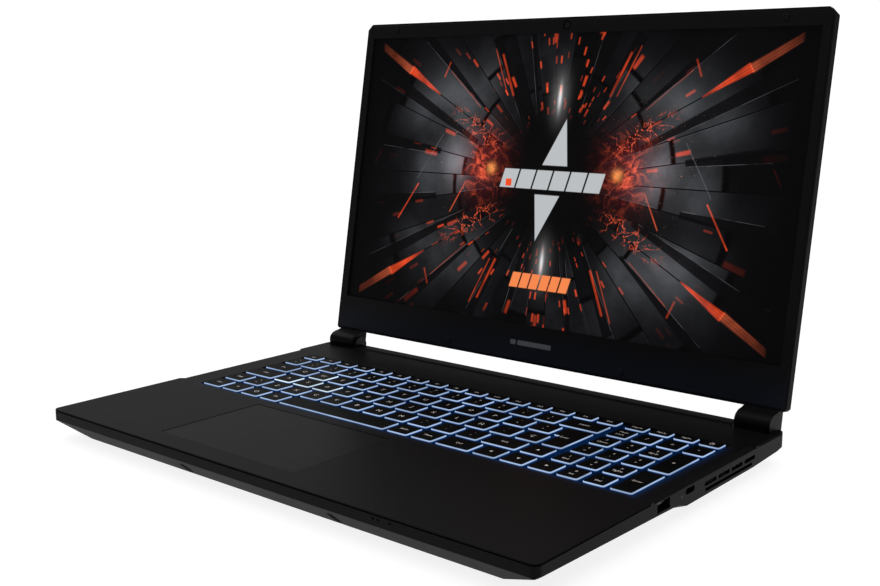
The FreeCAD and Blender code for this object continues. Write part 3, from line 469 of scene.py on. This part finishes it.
class Picture(Graph):
    """A graph with the picture's own coordinates and light."""

    def __init__(self, name):
        super().__init__(name)
        offset = self.vector("SUBTRACT", self.place, tuple(SCREEN_CENTRE))
        self.x = self.times(self.axis(offset, "X"), 1 / HALF_SCREEN)
        self.y = self.dot(offset, tuple(UP_LID / HALF_SCREEN))
        self.whole = self.join(self.x, self.y)
        self.side = self.absolute(self.x)
        self.rise = self.absolute(self.y)
        self.halves = self.join(self.side, self.y)
        self.quarters = self.join(self.side, self.rise)
        self.radius = self.vector("LENGTH", self.whole, output="Value")
        self.light = None

    def paint(self, colour, share):
        """Adds light of this colour, as strong as share says."""
        layer = self.scaled(colour, share)
        self.light = layer if self.light is None else self.vector("ADD", self.light, layer)

    def cover(self, colour, share):
        """Lays an even colour over what is there, as densely as share says."""
        self.light = self.blend(share, self.light, colour)

    def glow(self, place, centre, wide, tall):
        """A soft round or long spot, 1 at its centre."""
        apart = self.vector("SUBTRACT", place, (*centre, 0.0))
        scaled = self.vector("MULTIPLY", apart, (1 / wide, 1 / tall, 0.0))
        return self.math("EXPONENT", self.times(self.dot(scaled, scaled), -1.0))

    def streak(self, place, centre, degrees, length, width, soft, taper=0.0):
        """A straight bar of light. With taper it narrows towards its far end."""
        ahead, beside = directions(degrees)
        apart = self.vector("SUBTRACT", place, (*centre, 0.0))
        along = self.dot(apart, ahead)
        across = self.absolute(self.dot(apart, beside))
        if taper:
            across = self.add(across, self.times(along, taper))
        ends = self.ramp(self.absolute(along), length / 2 + soft, length / 2 - soft)
        return self.times(ends, self.ramp(across, width / 2 + soft, width / 2 - soft))


def tunnel_panels(p):
    """Radial panels with dark joints between them, lit in the middle distance.

    Returns the turn round the centre, the step into the tunnel and the panels' faces."""
    turn = p.math("ARCTAN2", p.y, p.x)
    share = p.times(turn, SECTORS / (2 * math.pi))
    cell = p.math("FLOOR", share)
    depth = p.times(p.math("LOGARITHM", p.radius, math.e), 1.15)
    shift = p.random(p.join(cell, 3.0, 7.0))
    step = p.add(depth, p.times(shift, 4.0))
    ring = p.math("FLOOR", step)
    tone = p.random(p.join(cell, ring, 1.0))
    to_joint = p.times(p.to_whole(share), p.radius)
    joints = p.times(p.ramp(to_joint, 0.012, 0.035), p.ramp(p.to_whole(step), 0.01, 0.035))
    lip = p.times(p.ramp(to_joint, 0.055, 0.035), joints)
    far = p.times(p.ramp(p.radius, 0.28, 0.8), p.ramp(p.radius, 1.9, 1.0, 0.15, 1.0))
    sheen = p.ramp(p.noise(p.whole, 2.2, 4.0, 0.6), 0.35, 0.75, 0.3, 1.3)
    p.paint(PANEL_GREY, p.times(joints, far, p.ramp(tone, 0.0, 1.0, 0.1, 1.0), sheen))
    p.paint(LIP_GREY, p.times(lip, far, p.ramp(tone, 0.6, 1.0)))
    return turn, step, p.times(joints, p.ramp(tone, 0.05, 0.75, 0.28, 1.0))


def cloud_light(p, panes):
    """Grey light behind the panels on the diagonals, and white glints above and below."""
    wisps = p.ramp(p.noise(p.whole, 2.6, 4.0, 0.55, 0.3), 0.25, 0.75, 0.35, 1.25)
    lit = p.times(wisps, panes)
    for place, spots in ((p.quarters, DIAGONAL_CLOUDS), (p.halves, SIDE_CLOUDS)):
        for centre, wide, tall, level in spots:
            p.paint(GREY_LIGHT, p.times(p.glow(place, centre, wide, tall), lit, level))
    for centre, wide, tall, level in GLINTS:
        p.paint(WHITE, p.times(p.glow(p.quarters, centre, wide, tall), level))


def struts(p):
    """Black beams that run from the middle to the corners, with a bright hairline each."""
    for centre, degrees, length, width, taper in STRUTS:
        beam = p.streak(p.quarters, centre, degrees, length, width, 0.004, taper)
        p.cover(STRUT_BLACK, p.times(beam, 0.9))
        beside = directions(degrees)[1]
        edge = [middle - part * width * 0.5 for middle, part in zip(centre, beside)]
        line = p.streak(p.quarters, edge, degrees - 2, length * 0.92, 0.0015, 0.0025)
        p.paint(HAIRLINE_GREY, p.times(line, p.ramp(p.noise(p.whole, 4.0), 0.4, 0.6)))


def corner_beams(p):
    """Ribbed orange beams into the corners, with thinner ones beside them."""
    flame = p.ramp(p.noise(p.whole, 6.0, 3.0), 0.3, 0.7, 0.45, 1.1)
    for centre, degrees, length, width, taper, colour, level in QUARTER_BEAMS:
        bar = p.streak(p.quarters, centre, degrees, length, width, 0.006, taper)
        across = p.dot(p.quarters, directions(degrees)[1])
        ribs = p.ramp(p.math("PINGPONG", across, 0.009), 0.0, 0.003, 0.35, 1.0)
        p.paint(colour, p.times(bar, flame, ribs, level))
    for centre, degrees, length, width, colour, level in HALF_BEAMS:
        bar = p.streak(p.halves, centre, degrees, length, width, 0.004)
        p.paint(colour, p.times(bar, flame, level))


def flying_dashes(p, turn, step):
    """Short orange dashes that fly out from the centre, denser above and below it."""
    for rows, stride, seed, rare, level in DASHES:
        share = p.times(turn, rows / (2 * math.pi))
        along = p.add(p.times(step, stride), seed)
        dice = p.random(p.join(p.math("FLOOR", share), p.math("FLOOR", along), seed))
        thin = p.ramp(p.to_whole(share), 0.28, 0.42)
        short = p.ramp(p.to_whole(along), 0.08, 0.22)
        upright = p.ramp(p.side, 0.5, 0.15, 0.0, 0.06)
        chosen = p.ramp(p.add(dice, upright), rare, rare + 0.04)
        reach = p.times(p.ramp(p.radius, 0.38, 0.62), p.ramp(p.radius, 1.5, 0.9, 0.12, 1.0))
        p.paint(ORANGE, p.times(thin, short, chosen, reach, level))


def embers(p):
    """Fire and sparks on both sides of the centre, with glowing cracks around it."""
    fire = p.ramp(p.noise(p.halves, 9.0, 6.0, 0.7, 1.2), 0.47, 0.68)
    p.paint(EMBER, p.times(p.glow(p.halves, (0.58, 0.08), 0.15, 0.17), fire, 1.0))
    p.paint(COAL, p.times(p.glow(p.halves, (0.60, 0.09), 0.19, 0.2), 0.24))
    p.paint(FLAME, p.times(p.glow(p.halves, (0.52, 0.06), 0.035, 0.035), 0.8))
    vein = p.absolute(p.add(p.noise(p.quarters, 8.0, 5.0, 0.65, 0.8), -0.5))
    crack = p.ramp(vein, 0.018, 0.003)
    arm = p.ramp(p.absolute(p.add(p.rise, p.times(p.side, -0.50))), 0.11, 0.03)
    reach = p.times(p.ramp(p.radius, 0.45, 0.6), p.ramp(p.radius, 1.1, 0.75))
    p.paint(EMBER, p.times(crack, arm, reach, 0.9))
    near = p.glow(p.halves, (0.74, 0.12), 0.36, 0.38)
    for scale, size, level in SPARKS:
        spark = p.ramp(p.cells(p.halves, scale), size, size * 0.4)
        dice = p.random(p.cells(p.halves, scale, output="Position"))
        p.paint(SPARK, p.times(spark, p.ramp(dice, 0.66, 0.9), near, level))


def slanted_row(p, middle, half_length, half_height, pitch, gap):
    """A row of slanted blocks, 1 on the blocks."""
    soft = 0.003
    rise = p.add(p.y, -middle)
    lean = p.add(p.x, p.times(rise, -0.25))
    tall = p.ramp(p.absolute(rise), half_height + soft, half_height - soft)
    long = p.ramp(p.absolute(lean), half_length + soft, half_length - soft)
    apart = p.math("PINGPONG", p.add(lean, half_length), pitch / 2)
    return p.times(tall, long, p.ramp(apart, gap - soft, gap + soft))


def centre_mark(p):
    """A plain mark, a split diamond behind a row of blocks, with an orange row below it."""
    p.cover(MARK_BLACK, p.times(p.glow(p.whole, (0.0, -0.02), 0.40, 0.40), 0.85))
    lean = p.absolute(p.add(p.x, p.times(p.y, -0.18)))
    diamond = p.add(p.times(lean, 1 / 0.135), p.times(p.rise, 1 / 0.42))
    halves = p.times(p.ramp(diamond, 1.02, 0.98), p.ramp(p.rise, 0.098, 0.106))
    blocks = slanted_row(p, middle=0.0, half_length=0.42, half_height=0.066, pitch=0.14,
                         gap=0.007)
    p.cover(MARK_GREY, p.math("MAXIMUM", halves, blocks))
    p.cover(ORANGE, p.streak(p.whole, (-0.355, -0.030), 0, 0.05, 0.05, 0.003))
    p.cover(BLOCK_ORANGE, slanted_row(p, middle=-0.70, half_length=0.246, half_height=0.052,
                                      pitch=0.082, gap=0.006))


def screen_glass():
    """The display's anti-glare face with the lit picture behind it."""
    p = Picture("screen_glass")
    turn, step, panes = tunnel_panels(p)
    cloud_light(p, panes)
    struts(p)
    corner_beams(p)
    flying_dashes(p, turn, step)
    embers(p)
    border = p.ramp(p.side, 1.69, 1.665)
    shaded = p.times(p.ramp(p.side, 1.76, 1.2, 0.15, 1.0), p.ramp(p.rise, 1.05, 0.7, 0.6, 1.0),
                     border)
    p.light = p.vector("ADD", p.scaled(p.light, shaded), BLACK_LEVEL)
    centre_mark(p)
    haze = p.noise(p.place, 2500.0, 1.0)
    p.set(Base_Color=p.blend(haze, (0.002, 0.002, 0.0022), (0.004, 0.004, 0.0044)))
    p.set(Emission_Color=p.light, Emission_Strength=1.0)
    p.set(Roughness=p.ramp(haze, 0.3, 0.7, 0.34, 0.42), Specular_IOR_Level=0.03)
    p.bump(haze, strength=0.1, distance=0.01 * MM)
    return p.material


# ---- materials of the carried-over nodes -------------------------------------------

DECK_BLACK = (0.0046, 0.0042, 0.0043)
SHELL_BLACK = (0.0042, 0.0042, 0.0044)
BEZEL_BLACK = (0.0052, 0.0050, 0.0058)
LEGEND = ink("legend_ink", (0.95, 0.86, 0.80), 0.20)
BRIGHT_LEGEND = ink("bright_legend_ink", (0.95, 0.88, 0.82), 0.30)
# the chin mark's ink glows: a painted glow, since the printed mark is no lamp
DIM_MARK = ink("dim_mark_ink", (0.16, 0.17, 0.19), 0.10)
GOLD = metal("contact_gold", (0.83, 0.6, 0.28), 0.3)


def dress(material, *names):
    for name in names:
        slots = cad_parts[name].data.materials
        slots.clear()
        slots.append(material)


def both(name):
    return name + "_left", name + "_right"


def dress_shells():
    """The nodes that show: shells, keys, screen, lights and rubber."""
    cover_black, lid_black = shade(SHELL_BLACK, 0.9), shade(SHELL_BLACK, 2.2)
    dress(lit_deck("deck_plastic", DECK_BLACK, 0.44, 0.045), "top_case")
    dress(moulded("cover_plastic", cover_black, 0.5, 0.038, grain=1900.0, relief=0.8),
          "bottom_cover")
    dress(moulded("lid_plastic", lid_black, 0.5, 0.02), "lid_cover")
    dress(moulded("cap_plastic", SHELL_BLACK, 0.5, 0.07), *both("hinge_cap"))
    dress(lit_bezel("bezel_plastic", BEZEL_BLACK, 0.5, 0.085), "display_bezel")
    dress(moulded("touchpad_film", shade(DECK_BLACK, 1.1), 0.40, 0.056, grain=4200.0,
                  relief=0.15), "touchpad")
    dress(rubber("foot_rubber", (0.012, 0.012, 0.012)), "rubber_feet")
    dress(lit_bezel("bumper_rubber", shade(BEZEL_BLACK, 0.95), 0.6, 0.085), "lid_bumpers")
    dress(screen_glass(), "lcd_glass")
    dress(smoked_lens("status_light", (0.32, 0.36, 0.42), 0.0008, coat=0.0, specular=0.005,
                      tint=0.1), "status_lights")
    # the camera lens's glow is painted light: the lens is no lamp
    dress(smoked_lens("lens_glass", (0.02, 0.02, 0.022), 0.14, coat=0.1, specular=0.1),
          "webcam_lens")
    dress(key_plastic(), *KEY_NODES)
    dress(light_guide(), "keyboard_light_guide")


def dress_inside():
    """The sockets, hinges and screws, and everything inside the case."""
    black_steel = metal("black_steel", (0.018, 0.018, 0.019), 0.45)
    bright = metal("bright_metal", (0.74, 0.75, 0.76), 0.28, brushed=(60.0, 1.0, 60.0))
    black_part = moulded("inner_plastic", (0.010, 0.010, 0.011), 0.6, 0.3)
    dress(metal("zinc_steel", (0.42, 0.42, 0.43)), "keyboard_plate")
    dress(bright, "lcd_backlight", *both("heat_sink"))
    dress(black_steel, "case_screws", *both("hinge_arm"), *both("hinge_bracket"))
    dress(metal("port_metal", (0.08, 0.08, 0.085)), "usb_a_ports", "usb_c_port",
          "ethernet_jack", "hdmi_port")
    dress(metal("copper", (0.78, 0.38, 0.22), 0.3), "heat_pipes", "wifi_antennas")
    dress(circuit_board("circuit_board", (0.008, 0.03, 0.022)), "main_board", "webcam_board",
          "memory_modules", "ssd_drive", "wifi_card")
    dress(black_part, "audio_jack", "power_inlet", *both("fan_housing"), *both("fan_rotor"),
          *both("speaker"))
    dress(fibre_wrap("battery_wrap", (0.02, 0.02, 0.023)), "battery_pack")
    dress(fibre_wrap("cable_sleeve", (0.012, 0.012, 0.012)), "display_cable")


# ---- object and mesh helpers -------------------------------------------------------

def new_object(name, data):
    obj = bpy.data.objects.new(name, data)
    bpy.context.scene.collection.objects.link(obj)
    return obj


def new_piece(name, mesh, material, body):
    """Adds a piece of the object, which rides on a body and takes a slot's finish."""
    obj = new_object(name, mesh)
    mesh.materials.clear()
    mesh.materials.append(material)
    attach(obj, body)


def finished(bm, name):
    bmesh.ops.recalc_face_normals(bm, faces=bm.faces)
    mesh = bpy.data.meshes.new(name)
    bm.to_mesh(mesh)
    bm.free()
    return mesh


def add_prism(bm, outline, low, high, place=Matrix.Identity(4)):
    """Adds a closed prism over an outline of (x, y) points, from z low to high."""
    lower = [bm.verts.new(place @ Vector((x, y, low))) for x, y in outline]
    upper = [bm.verts.new(place @ Vector((x, y, high))) for x, y in outline]
    bm.faces.new(upper)
    bm.faces.new(list(reversed(lower)))
    for i in range(len(outline)):
        bm.faces.new([lower[i - 1], lower[i], upper[i], upper[i - 1]])


def add_ring(bm, profile, steps, place):
    """Adds a closed ring, a profile of (radius, height) points turned round the place's Z."""
    rims = [[bm.verts.new(place @ Vector((x, y, height))) for x, y in circle(radius, steps)]
            for radius, height in profile]
    for rim, following in zip(rims, rims[1:] + rims[:1]):
        for i in range(steps):
            bm.faces.new([rim[i - 1], rim[i], following[i], following[i - 1]])


def rounded(width, depth, radius):
    """A rounded rectangle round (0, 0), as points."""
    steps = 5
    points = []
    for quarter in range(4):
        cx = (width / 2 - radius) * (1 if quarter in (0, 3) else -1)
        cy = (depth / 2 - radius) * (1 if quarter in (0, 1) else -1)
        for i in range(steps + 1):
            angle = math.pi / 2 * (quarter + i / steps)
            points.append((cx + radius * math.cos(angle), cy + radius * math.sin(angle)))
    return points


def circle(radius, steps=24):
    angles = [2 * math.pi * i / steps for i in range(steps)]
    return [(radius * math.cos(angle), radius * math.sin(angle)) for angle in angles]


def lid_place(x, up, out):
    """Turns flat work to lie on the lid: X across, Y up the lid, Z out of its face."""
    origin = SCREEN_CENTRE + Vector((x, 0, 0)) + UP_LID * up + OUT_OF_LID * out
    axes = Matrix((Vector((1, 0, 0)), UP_LID, OUT_OF_LID)).transposed()
    return Matrix.Translation(origin) @ axes.to_4x4()


# ---- keys --------------------------------------------------------------------------

ROWS = {
    "function_row_keys": ["Esc", "F1", "F2", "F3", "F4", "F5", "F6", "F7", "F8", "F9", "F10",
                          "F11", "F12", "Prt", "Ins", "Del", "Home", "PgUp", "PgDn"],
    "number_row_keys": ["º ª", "1 !", "2 \"", "3 #", "4 $", "5 %", "6 &", "7 /", "8 (",
                        "9 )", "0 =", "' ?", "¡ ¿", "Num Lock", "/", "*", "-"],
    "letter_row_keys": ["Q", "W", "E", "R", "T", "Y", "U", "I", "O", "P", "` ^", "+ *",
                        "7 Home", "8 ^", "9 PgUp"],
    "home_row_keys": ["A", "S", "D", "F", "G", "H", "J", "K", "L", "Ñ", "´ ¨",
                      "Ç", "4 <", "5 -", "6 >"],
    "shift_row_keys": ["Shift", "< >", "Z", "X", "C", "V", "B", "N", "M", ", ;", ". :", "- _",
                       "up", "1 End", "2 v", "3 PgDn"],
    "bottom_row_keys": ["Ctrl", "Fn", "ring", "Alt", "AltGr", "Menu", "Ctrl", "left", "down",
                        "right", "0 Ins", ". Del"],
}
BRIGHT_ROWS = ("bottom_row_keys", "shift_row_keys")
SINGLES = {"right_shift_key": "Shift", "caps_lock_key": "Caps", "tab_key": "Tab",
           "backspace_key": "Delete", "enter_key": "Enter", "numpad_plus_key": "+",
           "numpad_enter_key": "Enter", "power_key": "power"}
HOMING_KEYS = ("F", "J", "5 -")
ARROWS = {"right": 0, "up": 90, "left": 180, "down": 270}
ARROW_SIZE = 1.3 * MM
SMALL_TEXT = 2.7 * MM
LARGE_TEXT = 4.4 * MM
LINE_LIFT = 2.3 * MM                # of a legend's two lines, from the key's middle
RING_RADII = (1.6 * MM, 1.2 * MM)
POWER_RADII = (1.5 * MM, 1.15 * MM)
WELD = 1e-5                         # joins the vertices of one key, and of no other


@functools.cache
def key_boxes(node):
    """The (x0, x1, y0, y1) of each key in a node, from left to right."""
    bm = bmesh.new()
    bm.from_mesh(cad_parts[node].data)
    bmesh.ops.remove_doubles(bm, verts=bm.verts, dist=WELD)
    left = set(bm.verts)
    boxes = []
    while left:
        found = {left.pop()}
        edge_of_search = list(found)
        while edge_of_search:
            vert = edge_of_search.pop()
            for other in (e.other_vert(vert) for e in vert.link_edges):
                if other in left:
                    left.discard(other)
                    found.add(other)
                    edge_of_search.append(other)
        xs = [v.co.x for v in found]
        ys = [v.co.y for v in found]
        boxes.append((min(xs), max(xs), min(ys), max(ys)))
    bm.free()
    return sorted(boxes)


def key_box(node, text):
    """The box of the key with this legend."""
    return key_boxes(node)[ROWS[node].index(text)]


@functools.cache
def glyphs(text):
    """The mesh of a string, in letters 1 unit tall, starting at the origin."""
    curve = bpy.data.curves.new("glyphs", "FONT")
    curve.body = text
    curve.resolution_u = 3
    curve.extrude = 0.5
    obj = new_object("glyphs", curve)
    graph = bpy.context.evaluated_depsgraph_get()
    mesh = bpy.data.meshes.new_from_object(obj.evaluated_get(graph))
    bpy.data.objects.remove(obj)
    return mesh


def add_text(bm, text, x, y, size):
    """Adds a word to the key tops, centred on x, y."""
    mesh = glyphs(text)
    across = [v.co.x for v in mesh.vertices]
    along = [v.co.y for v in mesh.vertices]
    middle = Vector((min(across) + max(across), min(along) + max(along), 0)) / 2
    place = (Matrix.Translation((x, y, KEY_TOP + INK / 2))
             @ Matrix.Diagonal((size, size, INK, 1.0)) @ Matrix.Translation(-middle))
    fresh = [bm.verts.new(place @ v.co) for v in mesh.vertices]
    for face in mesh.polygons:
        bm.faces.new([fresh[i] for i in face.vertices])


def add_shape(bm, outline, x, y):
    """Adds a flat shape to the key tops."""
    add_prism(bm, outline, 0.0, INK, Matrix.Translation((x, y, KEY_TOP)))


def add_key_ring(bm, middle, radii):
    """Adds a flat ring to the key tops."""
    outer, inner = radii
    profile = ((outer, 0), (outer, INK), (inner, INK), (inner, 0))
    add_ring(bm, profile, 28, Matrix.Translation((*middle, KEY_TOP)))


def arrow(size, degrees):
    """A triangle that points this way, as points."""
    turn = Matrix.Rotation(math.radians(degrees), 2)
    back, half = -size * 0.6, size * 0.8
    return [tuple(turn @ Vector(point)) for point in ((size, 0), (back, half), (back, -half))]


def add_legend(bm, text, box):
    """One key's legend, in one or two lines, or a shape in its middle."""
    x0, x1, y0, y1 = box
    middle = ((x0 + x1) / 2, (y0 + y1) / 2)
    if text in ARROWS:
        add_shape(bm, arrow(ARROW_SIZE, ARROWS[text]), *middle)
    elif text == "ring":
        add_key_ring(bm, middle, RING_RADII)
    elif text == "power":
        add_key_ring(bm, middle, POWER_RADII)
        add_shape(bm, rounded(0.4 * MM, 1.8 * MM, 0.1 * MM), middle[0], middle[1] + 0.9 * MM)
    else:
        first, _, second = text.partition(" ")
        size = LARGE_TEXT if len(text) == 1 else SMALL_TEXT
        lift = LINE_LIFT if second else 0.0
        add_text(bm, first, middle[0], middle[1] + lift, size)
        if second:
            add_text(bm, second, middle[0], middle[1] - lift, size)


def key_legends():
    """A piece of legends for each row of keys and each large key."""
    for node, words in ROWS.items():
        bm = bmesh.new()
        for text, box in zip(words, key_boxes(node)):
            add_legend(bm, text, box)
        material = BRIGHT_LEGEND if node in BRIGHT_ROWS else LEGEND
        new_piece("legends_" + node, finished(bm, node), material, node)
    for node, text in SINGLES.items():
        bm = bmesh.new()
        low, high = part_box(node)
        add_legend(bm, text, (low.x, high.x, low.y, high.y))
        new_piece("legend_" + node, finished(bm, node), LEGEND, node)


def homing_bars():
    """The small raised bars on F, J and the number pad's 5."""
    bm = bmesh.new()
    for text in HOMING_KEYS:
        x0, x1, y0, _ = key_box("home_row_keys", text)
        place = Matrix.Translation(((x0 + x1) / 2, y0 + 2.4 * MM, KEY_TOP))
        add_prism(bm, rounded(3.6 * MM, 0.6 * MM, 0.28 * MM), -0.02 * MM, 0.22 * MM, place)
    material = moulded("homing_bar_plastic", (0.008, 0.008, 0.009), 0.4, 0.3)
    new_piece("homing_bars", finished(bm, "homing_bars"), material, "home_row_keys")


# ---- small pieces ------------------------------------------------------------------

CHIN_MARK_DROP = 12.5 * MM          # below the screen's foot
CHIN_BARS = ((-14.5 * MM, 4.4 * MM), (2.6 * MM, 27.0 * MM))     # the middle and width of each
WEBCAM_PROFILE = ((3.0, 0.0), (2.9, 0.12), (2.45, 0.12), (2.2, -0.3), (2.9, -0.3))  # mm
WEBCAM_LAMP_X = 6.5 * MM
CONTACTS = 4
CONTACT_PITCH = 2.2 * MM
SLOT_MIDDLES = (-58.9 * MM, 55.4 * MM)      # across the front facet
SLOT_SLANT = math.radians(-18)
FACET_SLOPE = math.radians(-45)


def chin_mark():
    """Two plain bars printed in a line on the chin, with a painted glow in their ink."""
    bm = bmesh.new()
    for x, width in CHIN_BARS:
        place = lid_place(x, -HALF_SCREEN - CHIN_MARK_DROP, FACE_OUT)
        add_prism(bm, rounded(width, 3.2 * MM, 0.8 * MM), 0.0, INK, place)
    new_piece("chin_mark", finished(bm, "chin_mark"), DIM_MARK, "lid")


def webcam_ring():
    """A thin turned ring round the camera's eye, with its indicator beside it."""
    low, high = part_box("webcam_lens")
    up = ((low + high) / 2 - SCREEN_CENTRE).dot(UP_LID)
    bm = bmesh.new()
    profile = [(radius * MM, height * MM) for radius, height in WEBCAM_PROFILE]
    add_ring(bm, profile, 36, lid_place(0.0, up, FACE_OUT))
    material = moulded("webcam_ring_plastic", (0.0008, 0.0008, 0.001), 0.6, 0.01, grain=4000.0,
                       relief=0.2)
    new_piece("webcam_ring", finished(bm, "webcam_ring"), material, "lid")
    bm = bmesh.new()
    add_prism(bm, circle(0.45 * MM), -0.02 * MM, INK, lid_place(WEBCAM_LAMP_X, up, FACE_OUT))
    lamp = smoked_lens("webcam_lamp_lens", (0.15, 0.16, 0.18), 0.08, coat=0.1, specular=0.1)
    new_piece("webcam_lamp", finished(bm, "webcam_lamp"), lamp, "lid")


def usb_contacts():
    """Four gold contacts under the tongue of each USB socket."""
    low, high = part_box("usb_a_ports")
    middle = (low.y + high.y) / 2
    tongue = high.z - 2.6 * MM
    for side, name in ((1, "right"), (-1, "left")):
        bm = bmesh.new()
        mouth = side * (high.x - 1.4 * MM)
        for i in range(CONTACTS):
            y = middle + (i - (CONTACTS - 1) / 2) * CONTACT_PITCH
            place = Matrix.Translation((mouth - side * 3.4 * MM, y, tongue))
            add_prism(bm, rounded(6.0 * MM, 1.0 * MM, 0.3 * MM), -0.06 * MM, 0.04 * MM, place)
        new_piece("usb_contacts_" + name, finished(bm, "usb_contacts"), GOLD, "base")


def port_mark():
    """A small plain printed triangle beside the side sockets, with a painted glow in its ink."""
    low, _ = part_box("usb_c_port")
    bm = bmesh.new()
    upright = Matrix.Rotation(math.radians(90), 4, "Y")
    place = Matrix.Translation((DECK_HIGH.x, low.y - 3.6 * MM, low.z + 1.8 * MM)) @ upright
    corners = [(-0.9 * MM, 0.0), (0.7 * MM, -0.9 * MM), (0.7 * MM, 0.9 * MM)]
    add_prism(bm, corners, 0.0, INK, place)
    # the ink's glow is painted light: the printed mark is no lamp
    material = ink("port_mark_ink", (0.030, 0.030, 0.033), 0.10)
    new_piece("port_mark", finished(bm, "port_mark"), material, "base")


def facet_slot_shade():
    """Near-black inlays over the two slanted slots of the front facet: a mesh made near black as
    painted shade, so the slots read dark.
    """
    bm = bmesh.new()
    lean = Matrix.Rotation(FACET_SLOPE, 4, "X") @ Matrix.Rotation(SLOT_SLANT, 4, "Z")
    for x in SLOT_MIDDLES:
        middle = Vector((x, DECK_LOW.y + FACET_MIDDLE, DECK_Z - FRONT_BAND - FACET_MIDDLE))
        outline = rounded(4.6 * MM, 8.2 * MM, 0.5 * MM)
        add_prism(bm, outline, -0.04 * MM, 0.9 * MM, Matrix.Translation(middle) @ lean)
    # painted shade: near black, so the slots look as dark as their shaded depth
    material = rubber("slot_shade_mesh", (0.0012, 0.0012, 0.0012), specular=0.02)
    new_piece("facet_slot_shade", finished(bm, "facet_slot_shade"), material, "base")


# ---- stage -------------------------------------------------------------------------

FLOOR_REACH = 30.0
BRIGHT_SIDE = Vector((-0.92, 0.38, 0.10)).normalized()      # of the room, at the back left
ROOM_SEEN = 1.08                    # the room's brightness to the camera

CAMERA_LENS = 47.79                 # fitted to the photograph's straight edges, like the rest
CAMERA_SENSOR = 36.0
CAMERA_PLACE = Vector((0.44126, -0.51261, 0.21655))
CAMERA_LOOK = Vector((-0.63619589, 0.74932684, -0.18375004))
CAMERA_UP = Vector((-0.11625835, 0.14233727, 0.98296699))


def floor():
    """A pale floor that glows a little, like a light table."""
    bm = bmesh.new()
    bmesh.ops.create_grid(bm, x_segments=12, y_segments=12, size=FLOOR_REACH)
    mesh = bpy.data.meshes.new("floor")
    bm.to_mesh(mesh)
    bm.free()
    obj = new_object("floor", mesh)
    g = Graph("light_table")
    g.set(Base_Color=g.blend(g.noise(g.place, 3.0), (0.28, 0.28, 0.28), (0.30, 0.30, 0.30)))
    g.set(Roughness=0.95, Specular_IOR_Level=0.0)
    g.set(Emission_Color=(1.0, 1.0, 1.0, 1.0), Emission_Strength=0.86)
    mesh.materials.append(g.material)


def overhead():
    """A wide, soft light from above, with no edges to show as reflections."""
    data = bpy.data.lights.new("overhead", "SUN")
    data.energy = 2.3
    data.angle = math.radians(100)
    obj = new_object("overhead", data)
    obj.rotation_euler = (math.radians(-6), math.radians(-8), 0)


def surroundings():
    """A white room to look at. As a light it is dim, and brightest at the back left."""
    world = bpy.data.worlds.new("studio")
    world.use_nodes = True
    bpy.context.scene.world = world
    tree = world.node_tree
    ray = tree.nodes.new("ShaderNodeLightPath")
    coordinates = tree.nodes.new("ShaderNodeTexCoord")
    toward = tree.nodes.new("ShaderNodeVectorMath")
    toward.operation = "DOT_PRODUCT"
    toward.inputs[1].default_value = BRIGHT_SIDE
    falloff = tree.nodes.new("ShaderNodeMapRange")
    falloff.interpolation_type = "SMOOTHSTEP"
    for name, value in (("From Min", 0.55), ("From Max", 1.0), ("To Min", 0.02), ("To Max", 0.4)):
        falloff.inputs[name].default_value = value
    mix = tree.nodes.new("ShaderNodeMix")
    mix.inputs["B"].default_value = ROOM_SEEN
    background = tree.nodes["Background"]
    background.inputs["Color"].default_value = (1.0, 1.0, 1.0, 1.0)
    tree.links.new(coordinates.outputs["Generated"], toward.inputs[0])
    tree.links.new(toward.outputs["Value"], falloff.inputs["Value"])
    tree.links.new(ray.outputs["Is Camera Ray"], mix.inputs["Factor"])
    tree.links.new(falloff.outputs[0], mix.inputs["A"])
    tree.links.new(mix.outputs[0], background.inputs["Strength"])


def camera():
    """The photograph's viewpoint."""
    data = bpy.data.cameras.new("camera")
    data.lens = CAMERA_LENS
    data.sensor_width = CAMERA_SENSOR
    data.clip_start = 0.01
    obj = new_object("camera", data)
    look = CAMERA_LOOK.normalized()
    right = look.cross(CAMERA_UP).normalized()
    axes = Matrix((right, right.cross(look), -look)).transposed()
    obj.matrix_world = Matrix.Translation(CAMERA_PLACE) @ axes.to_4x4()
    bpy.context.scene.camera = obj


dress_shells()
dress_inside()
key_legends()
homing_bars()
chin_mark()
webcam_ring()
usb_contacts()
port_mark()
facet_slot_shade()
floor()
overhead()
surroundings()
camera()
bpy.context.scene.view_settings.view_transform = "Standard"
